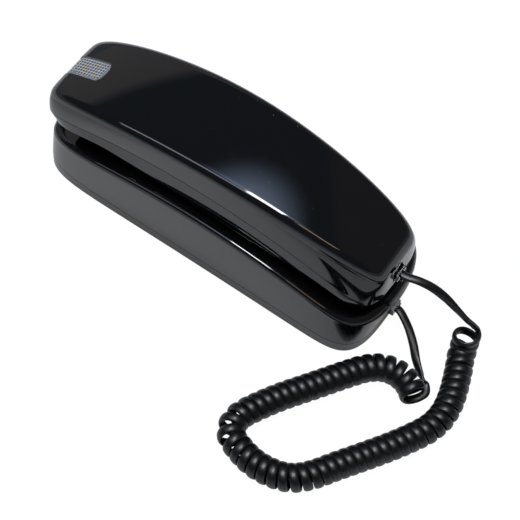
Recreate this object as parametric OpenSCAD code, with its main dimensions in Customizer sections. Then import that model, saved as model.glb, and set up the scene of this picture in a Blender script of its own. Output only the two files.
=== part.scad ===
// A slimline corded telephone: a long low base with a cradle tray, and an arched handset
// that lies on it face down. The keys are on the handset's inner face, between the two cups.
// X runs along the phone, from the ear end to the cord end, and Z is up from the table.

/* [Base] */
// Length of the base over its rim
base_len = 222; // [190:1:250]
// Width of the base over its rim at mid length
rim_w = 68.6; // [64:0.2:78]
// Width of the base at its foot
foot_w = 72.6; // [68:0.2:84]
// How far the foot stands in from the rim at the cord end
foot_setback = 3.4; // [1:0.1:5]
// How far the foot stands out past the rim at the ear end
foot_reach = 1.3; // [0:0.1:3]
// Height of the rim at mid length
rim_h = 49; // [44:0.5:56]
// How far the rim falls from mid length to its ends
rim_fall = 21.5; // [17:0.5:24]
// How much lower the cord end of the rim is than mid length, on top of the fall
rim_tip = 1.4; // [0:0.1:3]
// Height of the seam between the bottom cover and the upper shell
cover_h = 8.7; // [8:0.1:11]
// Depth of the cradle tray under the rim
tray_depth = 5.5; // [4:0.1:7]
// Width of the rolled rim, seen from above
rim_roll = 4.4; // [3:0.1:6]
// Gap between the resting handset and the tray
rest_gap = 0.4; // [0.3:0.1:1]

/* [Handset] */
// How far the handset passes the base at the ear end
ear_overhang = 4.8; // [2:0.1:8]
// How far the handset stops short of the rim at the cord end
cord_setback = 2.4; // [1:0.1:5]
// Width of the handset at its seam
handset_w = 58.8; // [54:0.2:62]
// Height of the handset's seam at mid length
seam_h = 64.8; // [62:0.2:68]
// How far the seam falls from mid length to its ends
seam_fall = 20; // [17:0.5:22]
// How much lower the cord end of the seam is
seam_tip = 3.9; // [1:0.1:5]
// Height of the handset's back at mid length
back_h = 85; // [82:0.5:92]
// How far the back falls from mid length to its ends
back_fall = 22.5; // [18:0.5:26]
// How much higher the cord end of the back is
back_rise = 4; // [0:0.1:6]
// Crown of the back across its width
crown = 1.4; // [0.5:0.1:3]
// Radius of the back's long edges
edge_r = 3.6; // [2:0.1:5]
// How far the ear end leans in from seam to back
ear_lean = 10; // [6:0.5:13]
// How far the cord end leans in from seam to back
cord_lean = 4.8; // [2:0.1:8]
// Height of the keypad face at mid length
face_h = 47.8; // [46.5:0.1:50]
// Slope of the keypad face along the handset, in degrees
face_tilt = 3; // [2:0.1:4]
// Least depth of the front shell under the seam
front_depth = 8; // [7:0.1:10]
// Distance from the handset's ear end to the middle of the ear cup
ear_in = 32; // [30:0.5:36]
// Radius of the ear cup at its face
ear_r = 21; // [19:0.5:22.5]
// Distance from the handset's cord end to the middle of the mouth cup
mouth_in = 27; // [25:0.5:30]
// Radius of the mouth cup at its face
mouth_r = 19; // [17:0.5:20.5]

/* [Mouldings] */
// Wall of the four shells
wall = 2.4; // [1.8:0.1:3]
// Wall of the cups
cup_wall = 2.2; // [1.6:0.1:2.8]
// Gap between the two handset shells at their seam
seam_gap = 0.04; // [0.02:0.01:0.1]
// Half height of the groove that shows at each seam
seam_groove = 0.25; // [0.1:0.05:0.4]
// Play between a loose piece and its seat
play = 0.15; // [0.1:0.05:0.3]
// Outer radius of a screw boss
boss_r = 3.5; // [3:0.1:4.5]
// Radius of the hole that a screw bites in
pilot_r = 1.1; // [0.9:0.1:1.4]

/* [Keypad] */
// Spacing of the keys along the handset
key_pitch = 12.5; // [11.5:0.1:13.5]
// Spacing of the keys across the handset
key_gap_y = 14; // [12.5:0.1:15]
// Length of a key along the handset
key_l = 8; // [6:0.1:9]
// Width of a key across the handset
key_w = 10.5; // [8:0.1:11]
// How far a key stands proud of the face
key_proud = 1.3; // [1:0.1:1.8]
// Travel of a key
key_travel = 1.2; // [0.8:0.1:1.5]
// Clearance between a key and its window, all round
key_clear = 0.3; // [0.2:0.05:0.5]
// Width of the lip that keeps a key in
key_lip = 0.9; // [0.6:0.1:1.2]
// Thickness of that lip
key_lip_t = 0.8; // [0.6:0.1:1]
// Thickness of the rubber mat
mat_t = 1.2; // [1:0.1:2]
// Thickness of both circuit boards
board_t = 1.6; // [1:0.1:2]

/* [Lamp] */
// Length of the ring lamp's lens along the handset, seen from above
lens_l = 22; // [18:0.5:24]
// Width of the lens
lens_w = 14.4; // [12:0.2:18]

/* [Hook and ringer switch] */
// Travel of the hook plunger
hook_travel = 4; // [3:0.1:5]
// Length of the hook plunger along the base
hook_l = 12; // [9:0.5:14]
// Width of the hook plunger
hook_w = 8; // [6:0.5:10]
// Travel of the ringer switch to each side of its middle
ringer_travel = 3; // [2:0.1:4]

/* [Cord] */
// Outer diameter of the coiled cord
coil_d = 14.4; // [12:0.2:16]
// Diameter of the plain lead that stands for the flat cord
lead_d = 3.6; // [3:0.1:4]
// Width of a handset plug
plug_w = 7.65; // [7.4:0.05:7.8]
// Height of a handset plug
plug_h = 6.6; // [6.2:0.05:6.8]
// Length of a handset plug
plug_l = 11.7; // [11:0.1:13]
// How far a plug stands out of the shell
plug_out = 3; // [2:0.1:4]
// Sideways place of the handset jack
handset_jack_y = -1; // [-4:0.5:4]
// Height of the handset jack
handset_jack_z = 48.5; // [46.5:0.5:51]
// Sideways place of the base jack
base_jack_y = -2; // [-4:0.5:4]
// Height of the base jack's plug
base_jack_z = 13; // [12.5:0.1:15]

/* [Hidden] */

$fn = 48;
eps = 0.01;

// The base is set off to one side, so that the whole phone is centred on the origin.
base_x = ear_overhang / 2;
half = base_len / 2;
ref = half - 1;

// Heights along the phone are arches: mid height, tilt and fall over the reference length.
rim_arch = [rim_h, -rim_tip, -rim_fall];
seam_arch = [seam_h, -seam_tip, -seam_fall];
back_arch = [back_h, back_rise, -back_fall];
function arch(c, x) = c[0] + c[1] * x / ref + c[2] * pow(x / ref, 2);
function arch_slope(c, x) = (c[1] + 2 * c[2] * x / ref) / ref;
function arch_angle(c, x) = -atan(arch_slope(c, x));
function lerp(a, b, t) = a + (b - a) * t;

// Feet
foot_proud = 0.8;
foot_sunk = 1;
foot_r = 6;
foot_in = 22;
foot_y = foot_w / 2 - 14;
floor_t = wall;
cover_floor = foot_proud + floor_t;

// Handset ends and cups, along X from the middle of the base
ear_end = -half - ear_overhang;
cord_end = half - cord_setback;
ear_x = ear_end + ear_in;
mouth_x = cord_end - mouth_in;
function tray_z(x) = arch(rim_arch, x) - tray_depth;
function face_plane(x) = face_h - tan(face_tilt) * x;
function face_z(x) = min(face_plane(x), arch(seam_arch, x) - front_depth);

// ---------------------------------------------------------------------------------------
// Lofts. A shell is a stack of rings that share one count of points. Each ring is a rounded
// oblong whose ends can be squarer or rounder, and whose height follows an arch along X.

corner_steps = 6;
side_steps = 7;
split = 0.72;

// One quarter of a unit outline, from the nose of an end to the middle of a long side
function quarter(n, m) = concat(
    [for (i = [0:corner_steps]) let (a = acos(pow(split, n / 2)) * i / corner_steps)
        [pow(cos(a), 2 / n), pow(sin(a), 2 / m)]],
    [for (i = [1:side_steps]) let (u = split * (1 - i / side_steps))
        [u, pow(1 - pow(u, n), 1 / m)]]);

// The half outline on the far side, from the cord end to the ear end
function half_outline(x0, x1, b, n, m) =
    let (c = (x0 + x1) / 2, a = (x1 - x0) / 2, p = quarter(n[1], m[1]), q = quarter(n[0], m[0]))
    concat([for (v = p) [c + a * v[0], b * v[1]]],
        [for (i = [len(q) - 2:-1:0]) [c - a * q[i][0], b * q[i][1]]]);

// A whole ring; shape is [ear end x, cord end x, half width, end powers, side powers]
function outline(s) = let (h = half_outline(s[0], s[1], s[2], s[3], s[4]))
    concat(h, [for (i = [len(h) - 2:-1:1]) [h[i][0], -h[i][1]]]);

// The same shape drawn in by dx at the ear end, ex at the cord end and dy at the sides
function inset(s, dx, ex, dy) = [s[0] + dx, s[1] - ex, s[2] - dy, s[3], s[4]];

// A shape part of the way between two others
function between(s, r, t) = [for (i = [0:4]) s[i] + (r[i] - s[i]) * t];

function strip(k, n, flip) = [for (i = [0:n / 2 - 1]) each let (
        a = k + i, b = k + i + 1, c = k + (n - i - 1) % n, d = k + (n - i) % n,
        two = i > 0 && i < n / 2 - 1,
        t = two ? [[a, b, c], [a, c, d]] : (i == 0 ? [[a, b, c]] : [[a, b, d]]))
    flip ? [for (f = t) [f[2], f[1], f[0]]] : t];

function side_faces(rings, n) = [for (r = [0:rings - 2], i = [0:n - 1]) each
    let (a = r * n + i, b = r * n + (i + 1) % n, c = a + n, d = b + n)
    [[a, d, b], [a, c, d]]];

// A closed solid through a stack of rings, the first one lowest or innermost
module loft(rings) {
    n = len(rings[0]);
    points = [for (r = rings) each r];
    faces = concat(side_faces(len(rings), n), strip(0, n, false),
        strip((len(rings) - 1) * n, n, true));
    polyhedron(points, faces);
}

// ---------------------------------------------------------------------------------------
// Outlines of the four shells, seen from above. The ear end is fuller at its corners than
// the cord end, and the handset is a little wider at the ear end.

rim_shape = [-half, half, rim_w / 2, [6, 10], [5.2, 4.5], 0];
foot_shape = [-half - foot_reach, half - foot_setback, foot_w / 2, [6, 11], [5.2, 5], 0];
seam_shape = [ear_end, cord_end, handset_w / 2, [8.5, 12], [5, 4.6], -0.03];
back_shape = [ear_end + ear_lean, cord_end - cord_lean, handset_w / 2 - 0.4,
    [7, 8], [6.5, 4.4], -0.03];

// The base's outline at a height of h on its walls, where they are straight
function base_shape(h) = between(foot_shape, rim_shape, (h - foot_proud) / (rim_h - foot_proud));
function even(s, d) = inset(s, d, d, d);
cover_shape = base_shape(cover_h);

// Where the upper shell's outer face is: at an end (0 or 1), and at a side, at a height of z
function wall_share(x, z) = (z - cover_h) / (arch(rim_arch, x) - roll_h - cover_h);
function end_x(i, z) = lerp(cover_shape[i], rim_shape[i], wall_share(rim_shape[i], z));
function side_y(x, z) = lerp(cover_shape[2], rim_shape[2], wall_share(x, z));

// A ring at one height, along an arch with an offset, or part way between two heights
function flat_ring(s, z) = [for (p = outline(s)) [p[0], p[1], z]];
function arch_ring(s, c, dz) = [for (p = outline(s)) [p[0], p[1], arch(c, p[0]) + dz]];
function mid_ring(s, z, c, dz, t) =
    [for (p = outline(s)) [p[0], p[1], lerp(z, arch(c, p[0]) + dz, t)]];
function face_ring(s, dz, t) =
    [for (p = outline(s)) [p[0], p[1], lerp(face_z(p[0]) + dz, arch(seam_arch, p[0]), t)]];

// Height of the back over a point, with its crown, and a ring at t between seam and back
function back_z(x, y) = arch(back_arch, x) + crown * (1 - pow(y / (handset_w / 2), 2));
function back_ring(s, dz, t) =
    [for (p = outline(s)) [p[0], p[1], lerp(arch(seam_arch, p[0]), back_z(p[0], p[1]) + dz, t)]];

groove_in = 0.4;
foot_edge = 1.6;
roll_end = 1.5;
roll_h = 3;

module place() {
    translate([base_x, 0, 0]) children();
}

// ---------------------------------------------------------------------------------------
// Common small pieces

// A flat plate with round corners, lying on z = 0 and centred
module round_plate(l, w, t, r) {
    linear_extrude(t) {
        square([l - 2 * r, w], center = true);
        square([l, w - 2 * r], center = true);
        for (i = [-1, 1], j = [-1, 1])
            translate([i * (l / 2 - r), j * (w / 2 - r)]) circle(r);
    }
}

// A self-tapping screw, its head's seat at z = 0 and its shank up along Z
head_r = 2.7;
head_t = 1.8;
module screw(l) {
    difference() {
        union() {
            translate([0, 0, -head_t]) cylinder(r = head_r, h = head_t);
            cylinder(r = pilot_r - 0.02, h = l);
        }
        for (a = [0, 90]) rotate([0, 0, a])
            translate([-1.6, -0.3, -head_t - eps]) cube([3.2, 0.6, 1]);
    }
}

// ---------------------------------------------------------------------------------------
// Base shells

// Screws of the base: how far each pair stands from the middle, along and across
base_screw_in = 35;
base_screw_x = [-half + base_screw_in, half - base_screw_in];
base_screw_y = 22;
base_screw_l = 9;
head_clear = 0.3;

// Keyholes for two wall studs at their usual spacing, with slots towards the cord end
stud_pitch = 100;
keyhole_in = 25;
keyhole_x = [-half + keyhole_in, -half + keyhole_in + stud_pitch];
keyhole_r = 4.6;
keyhole_slot = 4.4;
keyhole_l = 8;

// Base board and what stands on it; the hook switch is just past the ear cup
hook_x = ear_x + ear_r + 12.8;
hook_switch_l = 15;
hook_switch_w = 9;
hook_switch_h = 8;
spring_h = 5;
base_board_l = 67;
base_board_w = 46;
base_board_x = hook_x - hook_switch_l / 2 - 11.5 + base_board_l / 2;
base_board_z = 7.6;
base_post_r = 2.4;
base_post_in = 4;

// Jacks of the base
jack_w = 13;
jack_l = 15.5;
jack_wall = 1.6;
latch_w = 3;
latch_h = 1.9;
line_plug_w = 9.65;
line_y = 8;
line_z = 13.5;
jack_back = 1.2;
jack_gap = 0.6;
jack_down = plug_h / 2 + jack_wall + 0.4;
jack_up = jack_down + 0.8;
base_wall_x = end_x(1, base_jack_z);
base_jack_x = cover_shape[1] - wall - jack_gap - jack_l;
line_wall_x = end_x(0, line_z);
line_jack_x = end_x(0, line_z + jack_up) + wall + 1.5 * jack_gap;

// Ringer and its switch
ringer_r = 13.5;
ringer_t = 1.2;
ringer_wall = 1.4;
ringer_h = 4;
ringer_x = mouth_x - mouth_r - 20.6;
switch_x = ringer_x;
switch_z = 17;
switch_l = 6;
switch_h = 4;
switch_plate = 1.2;
switch_proud = 0.7;
switch_gap = 0.4;
switch_y = side_y(switch_x, switch_z);
switch_inner = side_y(switch_x, switch_z + switch_h) - wall - switch_gap;

// Base weight
weight_l = 24;
weight_w = 30;
weight_t = 6;
weight_fence = 1.4;
weight_x = base_jack_x - weight_fence + 0.4 - weight_l / 2;

// Handset hook tab, kept in the tray for use on a wall
tab_t = 2.2;
tab_wall = 1.7;
hook_flange = 1.5;
tab_x = hook_x - hook_l / 2 - hook_flange - 0.5 - tab_wall - tab_t / 2;
tab_w = 12;
tab_h = 8;
tab_proud = 1.5;

module base_upper_shell() {
    color("#141416") place() difference() {
        union() {
            loft([
                arch_ring(inset(rim_shape, 7.5, 9.5, 7), rim_arch, -tray_depth - wall),
                arch_ring(even(rim_shape, wall), rim_arch, -tray_depth - wall - 0.6),
                flat_ring(even(cover_shape, wall), cover_h),
                flat_ring(even(cover_shape, groove_in), cover_h),
                flat_ring(cover_shape, cover_h + seam_groove),
                mid_ring(between(cover_shape, rim_shape, 0.5), cover_h, rim_arch, -roll_h, 0.5),
                arch_ring(rim_shape, rim_arch, -roll_h),
                arch_ring(rolled(0.12), rim_arch, -0.5 * roll_h),
                arch_ring(rolled(0.3), rim_arch, -0.13 * roll_h),
                arch_ring(rolled(0.5), rim_arch, 0),
                arch_ring(rolled(0.72), rim_arch, -0.16 * roll_h),
                arch_ring(rolled(0.9), rim_arch, -0.6 * roll_h),
                arch_ring(rolled(1.08), rim_arch, -tray_depth + 1.4),
                arch_ring(rolled(1.18), rim_arch, -tray_depth + 0.4),
                arch_ring(rolled(1.4), rim_arch, -tray_depth)]);
            // Screw bosses, down to the cover's floor
            for (x = base_screw_x, s = [-1, 1]) translate([x, s * base_screw_y, cover_floor])
                cylinder(r = boss_r, h = tray_z(x) - wall / 2 - cover_floor);
            // Sleeve of the hook plunger and pocket of the hook tab
            translate([hook_x, 0, hook_sleeve_z + hook_sleeve_h / 2])
                cube([hook_l + 2 * (hook_clear + 1.5), hook_w + 2 * (hook_clear + 1.5),
                    hook_sleeve_h], center = true);
            translate([tab_x, 0, tray_z(tab_x) - tab_h / 2 - 0.6])
                cube([tab_t + 2 * tab_wall, tab_w + 2 * tab_wall, tab_h], center = true);
        }
        for (x = base_screw_x, s = [-1, 1]) translate([x, s * base_screw_y, cover_floor - eps])
            cylinder(r = pilot_r, h = base_screw_l + 1);
        translate([hook_x, 0, tray_z(hook_x) - 5])
            cube([hook_l + 2 * hook_clear, hook_w + 2 * hook_clear, 40], center = true);
        translate([tab_x, 0, tray_z(tab_x) + tab_proud - tab_h / 2 + 20])
            cube([tab_t + 2 * play, tab_w + 2 * play, tab_h + 40], center = true);
        // Jack openings in the two ends, and the ringer switch's in the far side
        translate([half - 12, base_jack_y - plug_w / 2 - 0.6, base_jack_z - plug_h / 2 - 0.5])
            cube([20, plug_w + 1.2, plug_h + latch_h + 1.2]);
        translate([-half - 12, line_y - line_plug_w / 2 - 0.6, line_z - plug_h / 2 - 0.5])
            cube([20, line_plug_w + 1.2, plug_h + latch_h + 1.2]);
        translate([switch_x, switch_y, switch_z])
            cube([switch_l + 2 * ringer_travel + 1, 3 * wall, switch_h + 0.6], center = true);
    }
}

// The rim's outline drawn in by a share of its roll, which is wider at the two ends
function rolled(t) = inset(rim_shape, 1.2 * rim_roll * t, roll_end * rim_roll * t, rim_roll * t);

hook_clear = 0.3;
hook_sleeve_z = tray_z(hook_x) - 9;
hook_sleeve_h = 8;

module base_bottom_cover() {
    color("#141416") place() difference() {
        union() {
            loft([
                flat_ring(even(foot_shape, foot_edge), foot_proud),
                flat_ring(even(foot_shape, foot_edge / 3), foot_proud + foot_edge / 3),
                flat_ring(foot_shape, foot_proud + foot_edge),
                flat_ring(cover_shape, cover_h - seam_groove),
                flat_ring(even(cover_shape, groove_in), cover_h),
                flat_ring(even(cover_shape, wall), cover_h),
                flat_ring(even(cover_shape, wall), cover_floor + 1),
                flat_ring(even(cover_shape, wall + 1), cover_floor)]);
            // Posts of the circuit board
            for (i = [-1, 1], j = [-1, 1]) translate([base_board_x + i * (base_board_l / 2 - base_post_in),
                    j * (base_board_w / 2 - base_post_in), cover_floor - eps])
                cylinder(r = base_post_r, h = base_board_z - cover_floor + eps);
            // Seat of the ringer
            translate([ringer_x, 0, cover_floor - eps]) cylinder(r = ringer_r + ringer_wall, h = ringer_h);
            // Fence of the weight
            translate([weight_x - weight_l / 2 - weight_fence, -weight_w / 2 - weight_fence,
                    cover_floor - eps])
                cube([weight_l + 2 * weight_fence, weight_w + 2 * weight_fence, 3.5]);
            // Pedestals of the two jacks
            translate([base_jack_x, base_jack_y - jack_w / 2, cover_floor - eps])
                cube([jack_l, jack_w, base_jack_z - jack_down - cover_floor + eps]);
            translate([line_jack_x, line_y - jack_w / 2, cover_floor - eps])
                cube([jack_l, jack_w, line_z - jack_down - cover_floor + eps]);
            // Fence behind the ringer switch
            translate([switch_x - 10, switch_inner - switch_plate - 0.4 - wall, cover_floor - eps])
                cube([20, wall, switch_z + 3 - cover_floor]);
        }
        for (x = base_screw_x, s = [-1, 1]) translate([x, s * base_screw_y, 0]) {
            cylinder(r = head_r + head_clear, h = foot_proud + floor_t / 2 + head_t / 2);
            cylinder(r = pilot_r + 0.4, h = 20);
        }
        for (x = keyhole_x) translate([x, 0, 0]) {
            cylinder(r = keyhole_r, h = 2 * cover_floor, center = true);
            translate([keyhole_l / 2, 0, 0])
                cube([keyhole_l, keyhole_slot, 2 * cover_floor + 0.02], center = true);
            translate([keyhole_l, 0, 0])
                cylinder(r = keyhole_slot / 2, h = 2 * cover_floor, center = true);
        }
        translate([ringer_x, 0, cover_floor]) cylinder(r = ringer_r, h = 10);
        // Sound slots under the ringer
        for (i = [-3:3]) translate([ringer_x + i * 3, 0, 0])
            cube([1.4, 2 * sqrt(pow(ringer_r - 2, 2) - 9 * i * i), 3 * cover_floor], center = true);
        translate([weight_x - weight_l / 2 - play, -weight_w / 2 - play, cover_floor])
            cube([weight_l + 2 * play, weight_w + 2 * play, 10]);
        for (i = [-1, 1], j = [-1, 1])
            translate([foot_middle + i * foot_span, j * foot_y, foot_proud - eps])
                cylinder(r = foot_r + 0.05, h = foot_sunk + eps);
    }
}

foot_middle = (foot_shape[0] + foot_shape[1]) / 2;
foot_span = (foot_shape[1] - foot_shape[0]) / 2 - foot_in;

module rubber_feet() {
    color("#2c2c2e") place() for (i = [-1, 1], j = [-1, 1])
        translate([foot_middle + i * foot_span, j * foot_y, 0]) rotate_extrude()
            polygon([[0, 0], [foot_r - 0.6, 0], [foot_r - 0.1, 0.4], [foot_r, 0.8],
                [foot_r, foot_proud + foot_sunk], [0, foot_proud + foot_sunk]]);
}

module base_screws() {
    color("silver") place() for (x = base_screw_x, s = [-1, 1])
        translate([x, s * base_screw_y, foot_proud + floor_t / 2 + head_t / 2])
            screw(base_screw_l);
}

module handset_hook_tab() {
    color("#141416") place() translate([tab_x, 0, tray_z(tab_x) + tab_proud - tab_h / 2])
        rotate([0, 90, 0]) translate([0, 0, -tab_t / 2]) round_plate(tab_h, tab_w, tab_t, 1.5);
}

// ---------------------------------------------------------------------------------------
// Hook switch, its plunger and spring

hook_top = face_plane(hook_x) - tan(face_tilt) * hook_l / 2 - 0.35;
switch_top = base_board_z + board_t + hook_switch_h;
plunger_low = switch_top + spring_h;
flange_top = tray_z(hook_x) - 9 - hook_travel - 0.3;
spring_r = 3;
spring_wire = 0.35;
spring_turns = 4;

module hook_plunger() {
    color("#1b1b1d") place() translate([hook_x, 0, 0]) difference() {
        union() {
            translate([0, 0, plunger_low]) round_plate(hook_l, hook_w, hook_top - plunger_low, 1);
            translate([0, 0, flange_top - 2])
                round_plate(hook_l + 2 * hook_flange, hook_w + 2 * hook_flange, 2, 1);
        }
        translate([0, 0, plunger_low - eps]) cylinder(r = spring_r - 1.2, h = 6);
    }
}

module hook_spring() {
    color("silver") place() translate([hook_x, 0, switch_top]) {
        sides = 5;
        per_turn = 10;
        n = spring_turns * per_turn;
        rise = spring_h - 2 * spring_wire;
        pts = [for (i = [0:n], j = [0:sides - 1]) let (a = i * 360 / per_turn, b = j * 360 / sides,
                r = spring_r + spring_wire * cos(b))
            [r * cos(a), r * sin(a), spring_wire + rise * i / n + spring_wire * sin(b)]];
        skin = [for (i = [0:n - 1], j = [0:sides - 1]) each let (a = i * sides + j,
                b = i * sides + (j + 1) % sides) [[a, b, b + sides], [a, b + sides, a + sides]]];
        ends = [[for (j = [sides - 1:-1:0]) j], [for (j = [0:sides - 1]) n * sides + j]];
        polyhedron(pts, concat(skin, ends));
    }
}

module hook_switch() {
    color("#2a2a2c") place() translate([hook_x, 0, base_board_z + board_t]) {
        translate([0, 0, hook_switch_h / 2])
            cube([hook_switch_l, hook_switch_w, hook_switch_h], center = true);
        // Peg that centres the spring
        translate([0, 0, hook_switch_h - eps]) cylinder(r = spring_r - 1.4, h = 3);
    }
}

module base_circuit_board() {
    color("#2f6b45") place() difference() {
        union() {
            translate([base_board_x, 0, base_board_z])
                round_plate(base_board_l, base_board_w, board_t, 1);
            // Parts that stand on the board
            translate([base_board_x + 4, -12, base_board_z + board_t - eps])
                cylinder(r = 4, h = 9);
            translate([base_board_x + 12, 8, base_board_z + board_t - eps])
                cube([9, 6, 4]);
            translate([base_board_x + 20, -14, base_board_z + board_t - eps])
                cylinder(r = 3, h = 7);
        }
        for (i = [-1, 1], j = [-1, 1]) translate([base_board_x + i * (base_board_l / 2 - base_post_in),
                j * (base_board_w / 2 - base_post_in), base_board_z - eps])
            cylinder(r = 1, h = 2 * board_t);
    }
}

module ringer_disc() {
    color("#c8a24a") place() translate([ringer_x, 0, cover_floor])
        cylinder(r = ringer_r - 0.05, h = ringer_t);
}

module ringer_switch() {
    color("#1b1b1d") place() translate([switch_x, switch_y, switch_z]) {
        depth = switch_y - switch_inner;
        translate([-switch_l / 2, -depth - eps, -switch_h / 2])
            cube([switch_l, depth + switch_proud, switch_h]);
        translate([-switch_l, -depth - switch_plate, -switch_h])
            cube([2 * switch_l, switch_plate, 2 * switch_h]);
        // Thumb ribs on the knob
        for (i = [-1:1]) translate([i * 1.6 - 0.3, switch_proud - eps, -switch_h / 2])
            cube([0.6, 0.25, switch_h]);
    }
}

module base_weight() {
    color("#7d8288") place() translate([weight_x - weight_l / 2, -weight_w / 2, cover_floor])
        cube([weight_l, weight_w, weight_t]);
}

// A modular jack for a plug pw wide: it opens along +X, with its latch channel on +Z
module jack(w, l, pw) {
    difference() {
        translate([0, -w / 2, -jack_down]) cube([l, w, jack_down + jack_up]);
        translate([jack_back, -pw / 2 - play, -plug_h / 2 - play])
            cube([l, pw + 2 * play, plug_h + 2 * play]);
        translate([jack_back + 1, -latch_w / 2 - 0.3, 0])
            cube([l, latch_w + 0.6, plug_h / 2 + latch_h]);
    }
}

module base_jack() {
    color("#1b1b1d") place() translate([base_jack_x, base_jack_y, base_jack_z])
        jack(jack_w, jack_l, plug_w);
}

module line_jack() {
    color("#1b1b1d") place() translate([line_jack_x + jack_l, line_y, line_z])
        mirror([1, 0, 0]) jack(jack_w, jack_l, line_plug_w);
}

// ---------------------------------------------------------------------------------------
// Handset shells

ear_tilt = arch_angle(rim_arch, ear_x);
mouth_tilt = arch_angle(rim_arch, mouth_x);
cup_floor = 2;
cup_edge = 2.5;
cup_draft = 1.2;
ear_cup_h = 20;
mouth_cup_h = 15.5;
ear_hole_r = 1;
mouth_hole_r = 0.9;
keypad_x = 2;

// Case screws, from the keypad face up into the back shell
case_screw_x = [ear_x + ear_r + 8.8, mouth_x - mouth_r - 9.6];
case_screw_y = 20;
case_screw_l = 12;
case_meet = seam_h - 6.8;

// Keypad frame: u along the handset, v across and w into it, from the face's outer side
module keypad_frame() {
    translate([keypad_x, 0, face_plane(keypad_x)]) rotate([0, face_tilt, 0]) children();
}

// Rows and columns; the top row is towards the ear
key_u = [for (i = [0:4]) (i - 1.76) * key_pitch];
key_v = [key_gap_y, 0, -key_gap_y];
extra_v = [key_gap_y / 2 + 1.5, -key_gap_y / 2 - 1.5];
lip_w = wall + 0.05;
mat_w = wall + key_lip_t + key_travel + 0.6;
board_w = mat_w + mat_t;
board_u0 = -46;
board_u1 = 38.5;
board_v = 21;
board_post_r = 1.8;
volume_u = -36;
volume_travel = 4;
volume_l = 6;
volume_w = 3.8;
volume_plate = 1.1;

module key_window(u, v, l) {
    translate([u, v, 0]) cube([l + 2 * key_clear, key_w + 2 * key_clear, 3 * wall], center = true);
}

module at_ear() {
    translate([ear_x, 0, tray_z(ear_x) + rest_gap]) rotate([0, ear_tilt, 0]) children();
}

module at_mouth() {
    translate([mouth_x, 0, tray_z(mouth_x) + rest_gap]) rotate([0, mouth_tilt, 0]) children();
}

// Outside of a cup, its mouth down on z = 0
module cup(r, h) {
    rotate_extrude() polygon(concat(
        [[0, 0]],
        [for (a = [0:15:90]) [r - cup_draft - cup_edge * (1 - sin(a)), cup_edge * (1 - cos(a))]],
        [[r, cup_edge + 6], [r, h], [0, h]]));
}

module cup_hollow(r, h) {
    translate([0, 0, cup_floor]) cylinder(r1 = r - cup_draft - cup_wall, r2 = r - cup_wall,
        h = cup_edge + 6 - cup_floor);
    translate([0, 0, cup_edge + 6 - eps]) cylinder(r = r - cup_wall, h = h);
}

module handset_front_shell() {
    color("#141416") place() difference() {
        union() {
            loft([
                face_ring(inset(seam_shape, 10.5, 8.5, 3.4), 0, 0),
                face_ring(inset(seam_shape, 8.6, 6.6, 1.9), 0.7, 0),
                face_ring(inset(seam_shape, 7.2, 5.4, 1.3), 2, 0),
                face_ring(inset(seam_shape, 3.2, 2.6, 0.6), 0, 0.6),
                arch_ring(seam_shape, seam_arch, -seam_groove),
                arch_ring(even(seam_shape, groove_in), seam_arch, 0),
                arch_ring(even(seam_shape, wall), seam_arch, 0),
                face_ring(inset(seam_shape, 3.2 + wall, 2.6 + wall, 0.6 + wall), 0, 0.6),
                face_ring(inset(seam_shape, 8 + wall, 6 + wall, 1.3 + wall), wall + 1, 0),
                face_ring(inset(seam_shape, 12, 10, 5), wall, 0)]);
            at_ear() cup(ear_r, ear_cup_h);
            at_mouth() cup(mouth_r, mouth_cup_h);
            for (x = case_screw_x, s = [-1, 1]) translate([x, s * case_screw_y, face_plane(x) + 1.2])
                cylinder(r = boss_r + 0.8, h = case_meet - face_plane(x) - 1.2);
            // Posts of the circuit board
            keypad_frame() for (u = [board_u0 + 2.2, board_u1 - 2.2], s = [-1, 1])
                translate([u, s * (board_v - 2.2), 1]) cylinder(r = board_post_r, h = board_w - 1);
        }
        at_ear() cup_hollow(ear_r, ear_cup_h);
        at_mouth() cup_hollow(mouth_r, mouth_cup_h);
        for (x = case_screw_x, s = [-1, 1]) translate([x, s * case_screw_y, 0]) {
            cylinder(r = head_r + head_clear, h = face_plane(x) + 4);
            cylinder(r = pilot_r + 0.4, h = case_meet + 1);
        }
        // Sound holes of the two cups
        at_ear() {
            cylinder(r = ear_hole_r, h = 3 * cup_floor, center = true);
            for (i = [0:5]) rotate([0, 0, 60 * i]) translate([5, 0, 0])
                cylinder(r = ear_hole_r, h = 3 * cup_floor, center = true);
        }
        at_mouth() for (i = [-1:1]) translate([4 * i, 0, 0])
            cylinder(r = mouth_hole_r, h = 3 * cup_floor, center = true);
        keypad_frame() {
            for (r = [0:3], c = [0:2]) key_window(key_u[r], key_v[c], key_l);
            for (v = extra_v) key_window(key_u[4], v, key_l - 2);
            translate([volume_u, 0, 0])
                cube([volume_w + 0.6, volume_l + 2 * volume_travel + 0.6, 3 * wall], center = true);
            // Catch for the hook tab
            translate([tab_x - keypad_x, 0, 0]) cube([tab_t + 0.9, tab_w + 2, 3 * wall], center = true);
        }
    }
}

// Insets of the back's rolled edges at the ear end, the cord end and the sides
back_roll = [3, 7, edge_r];
function roll_shape(t) = inset(back_shape, back_roll[0] * t, back_roll[1] * t, back_roll[2] * t);
function roll_ring(a) = back_ring(roll_shape(1 - cos(a)), -edge_r * (1 - sin(a)), 1);

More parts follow.
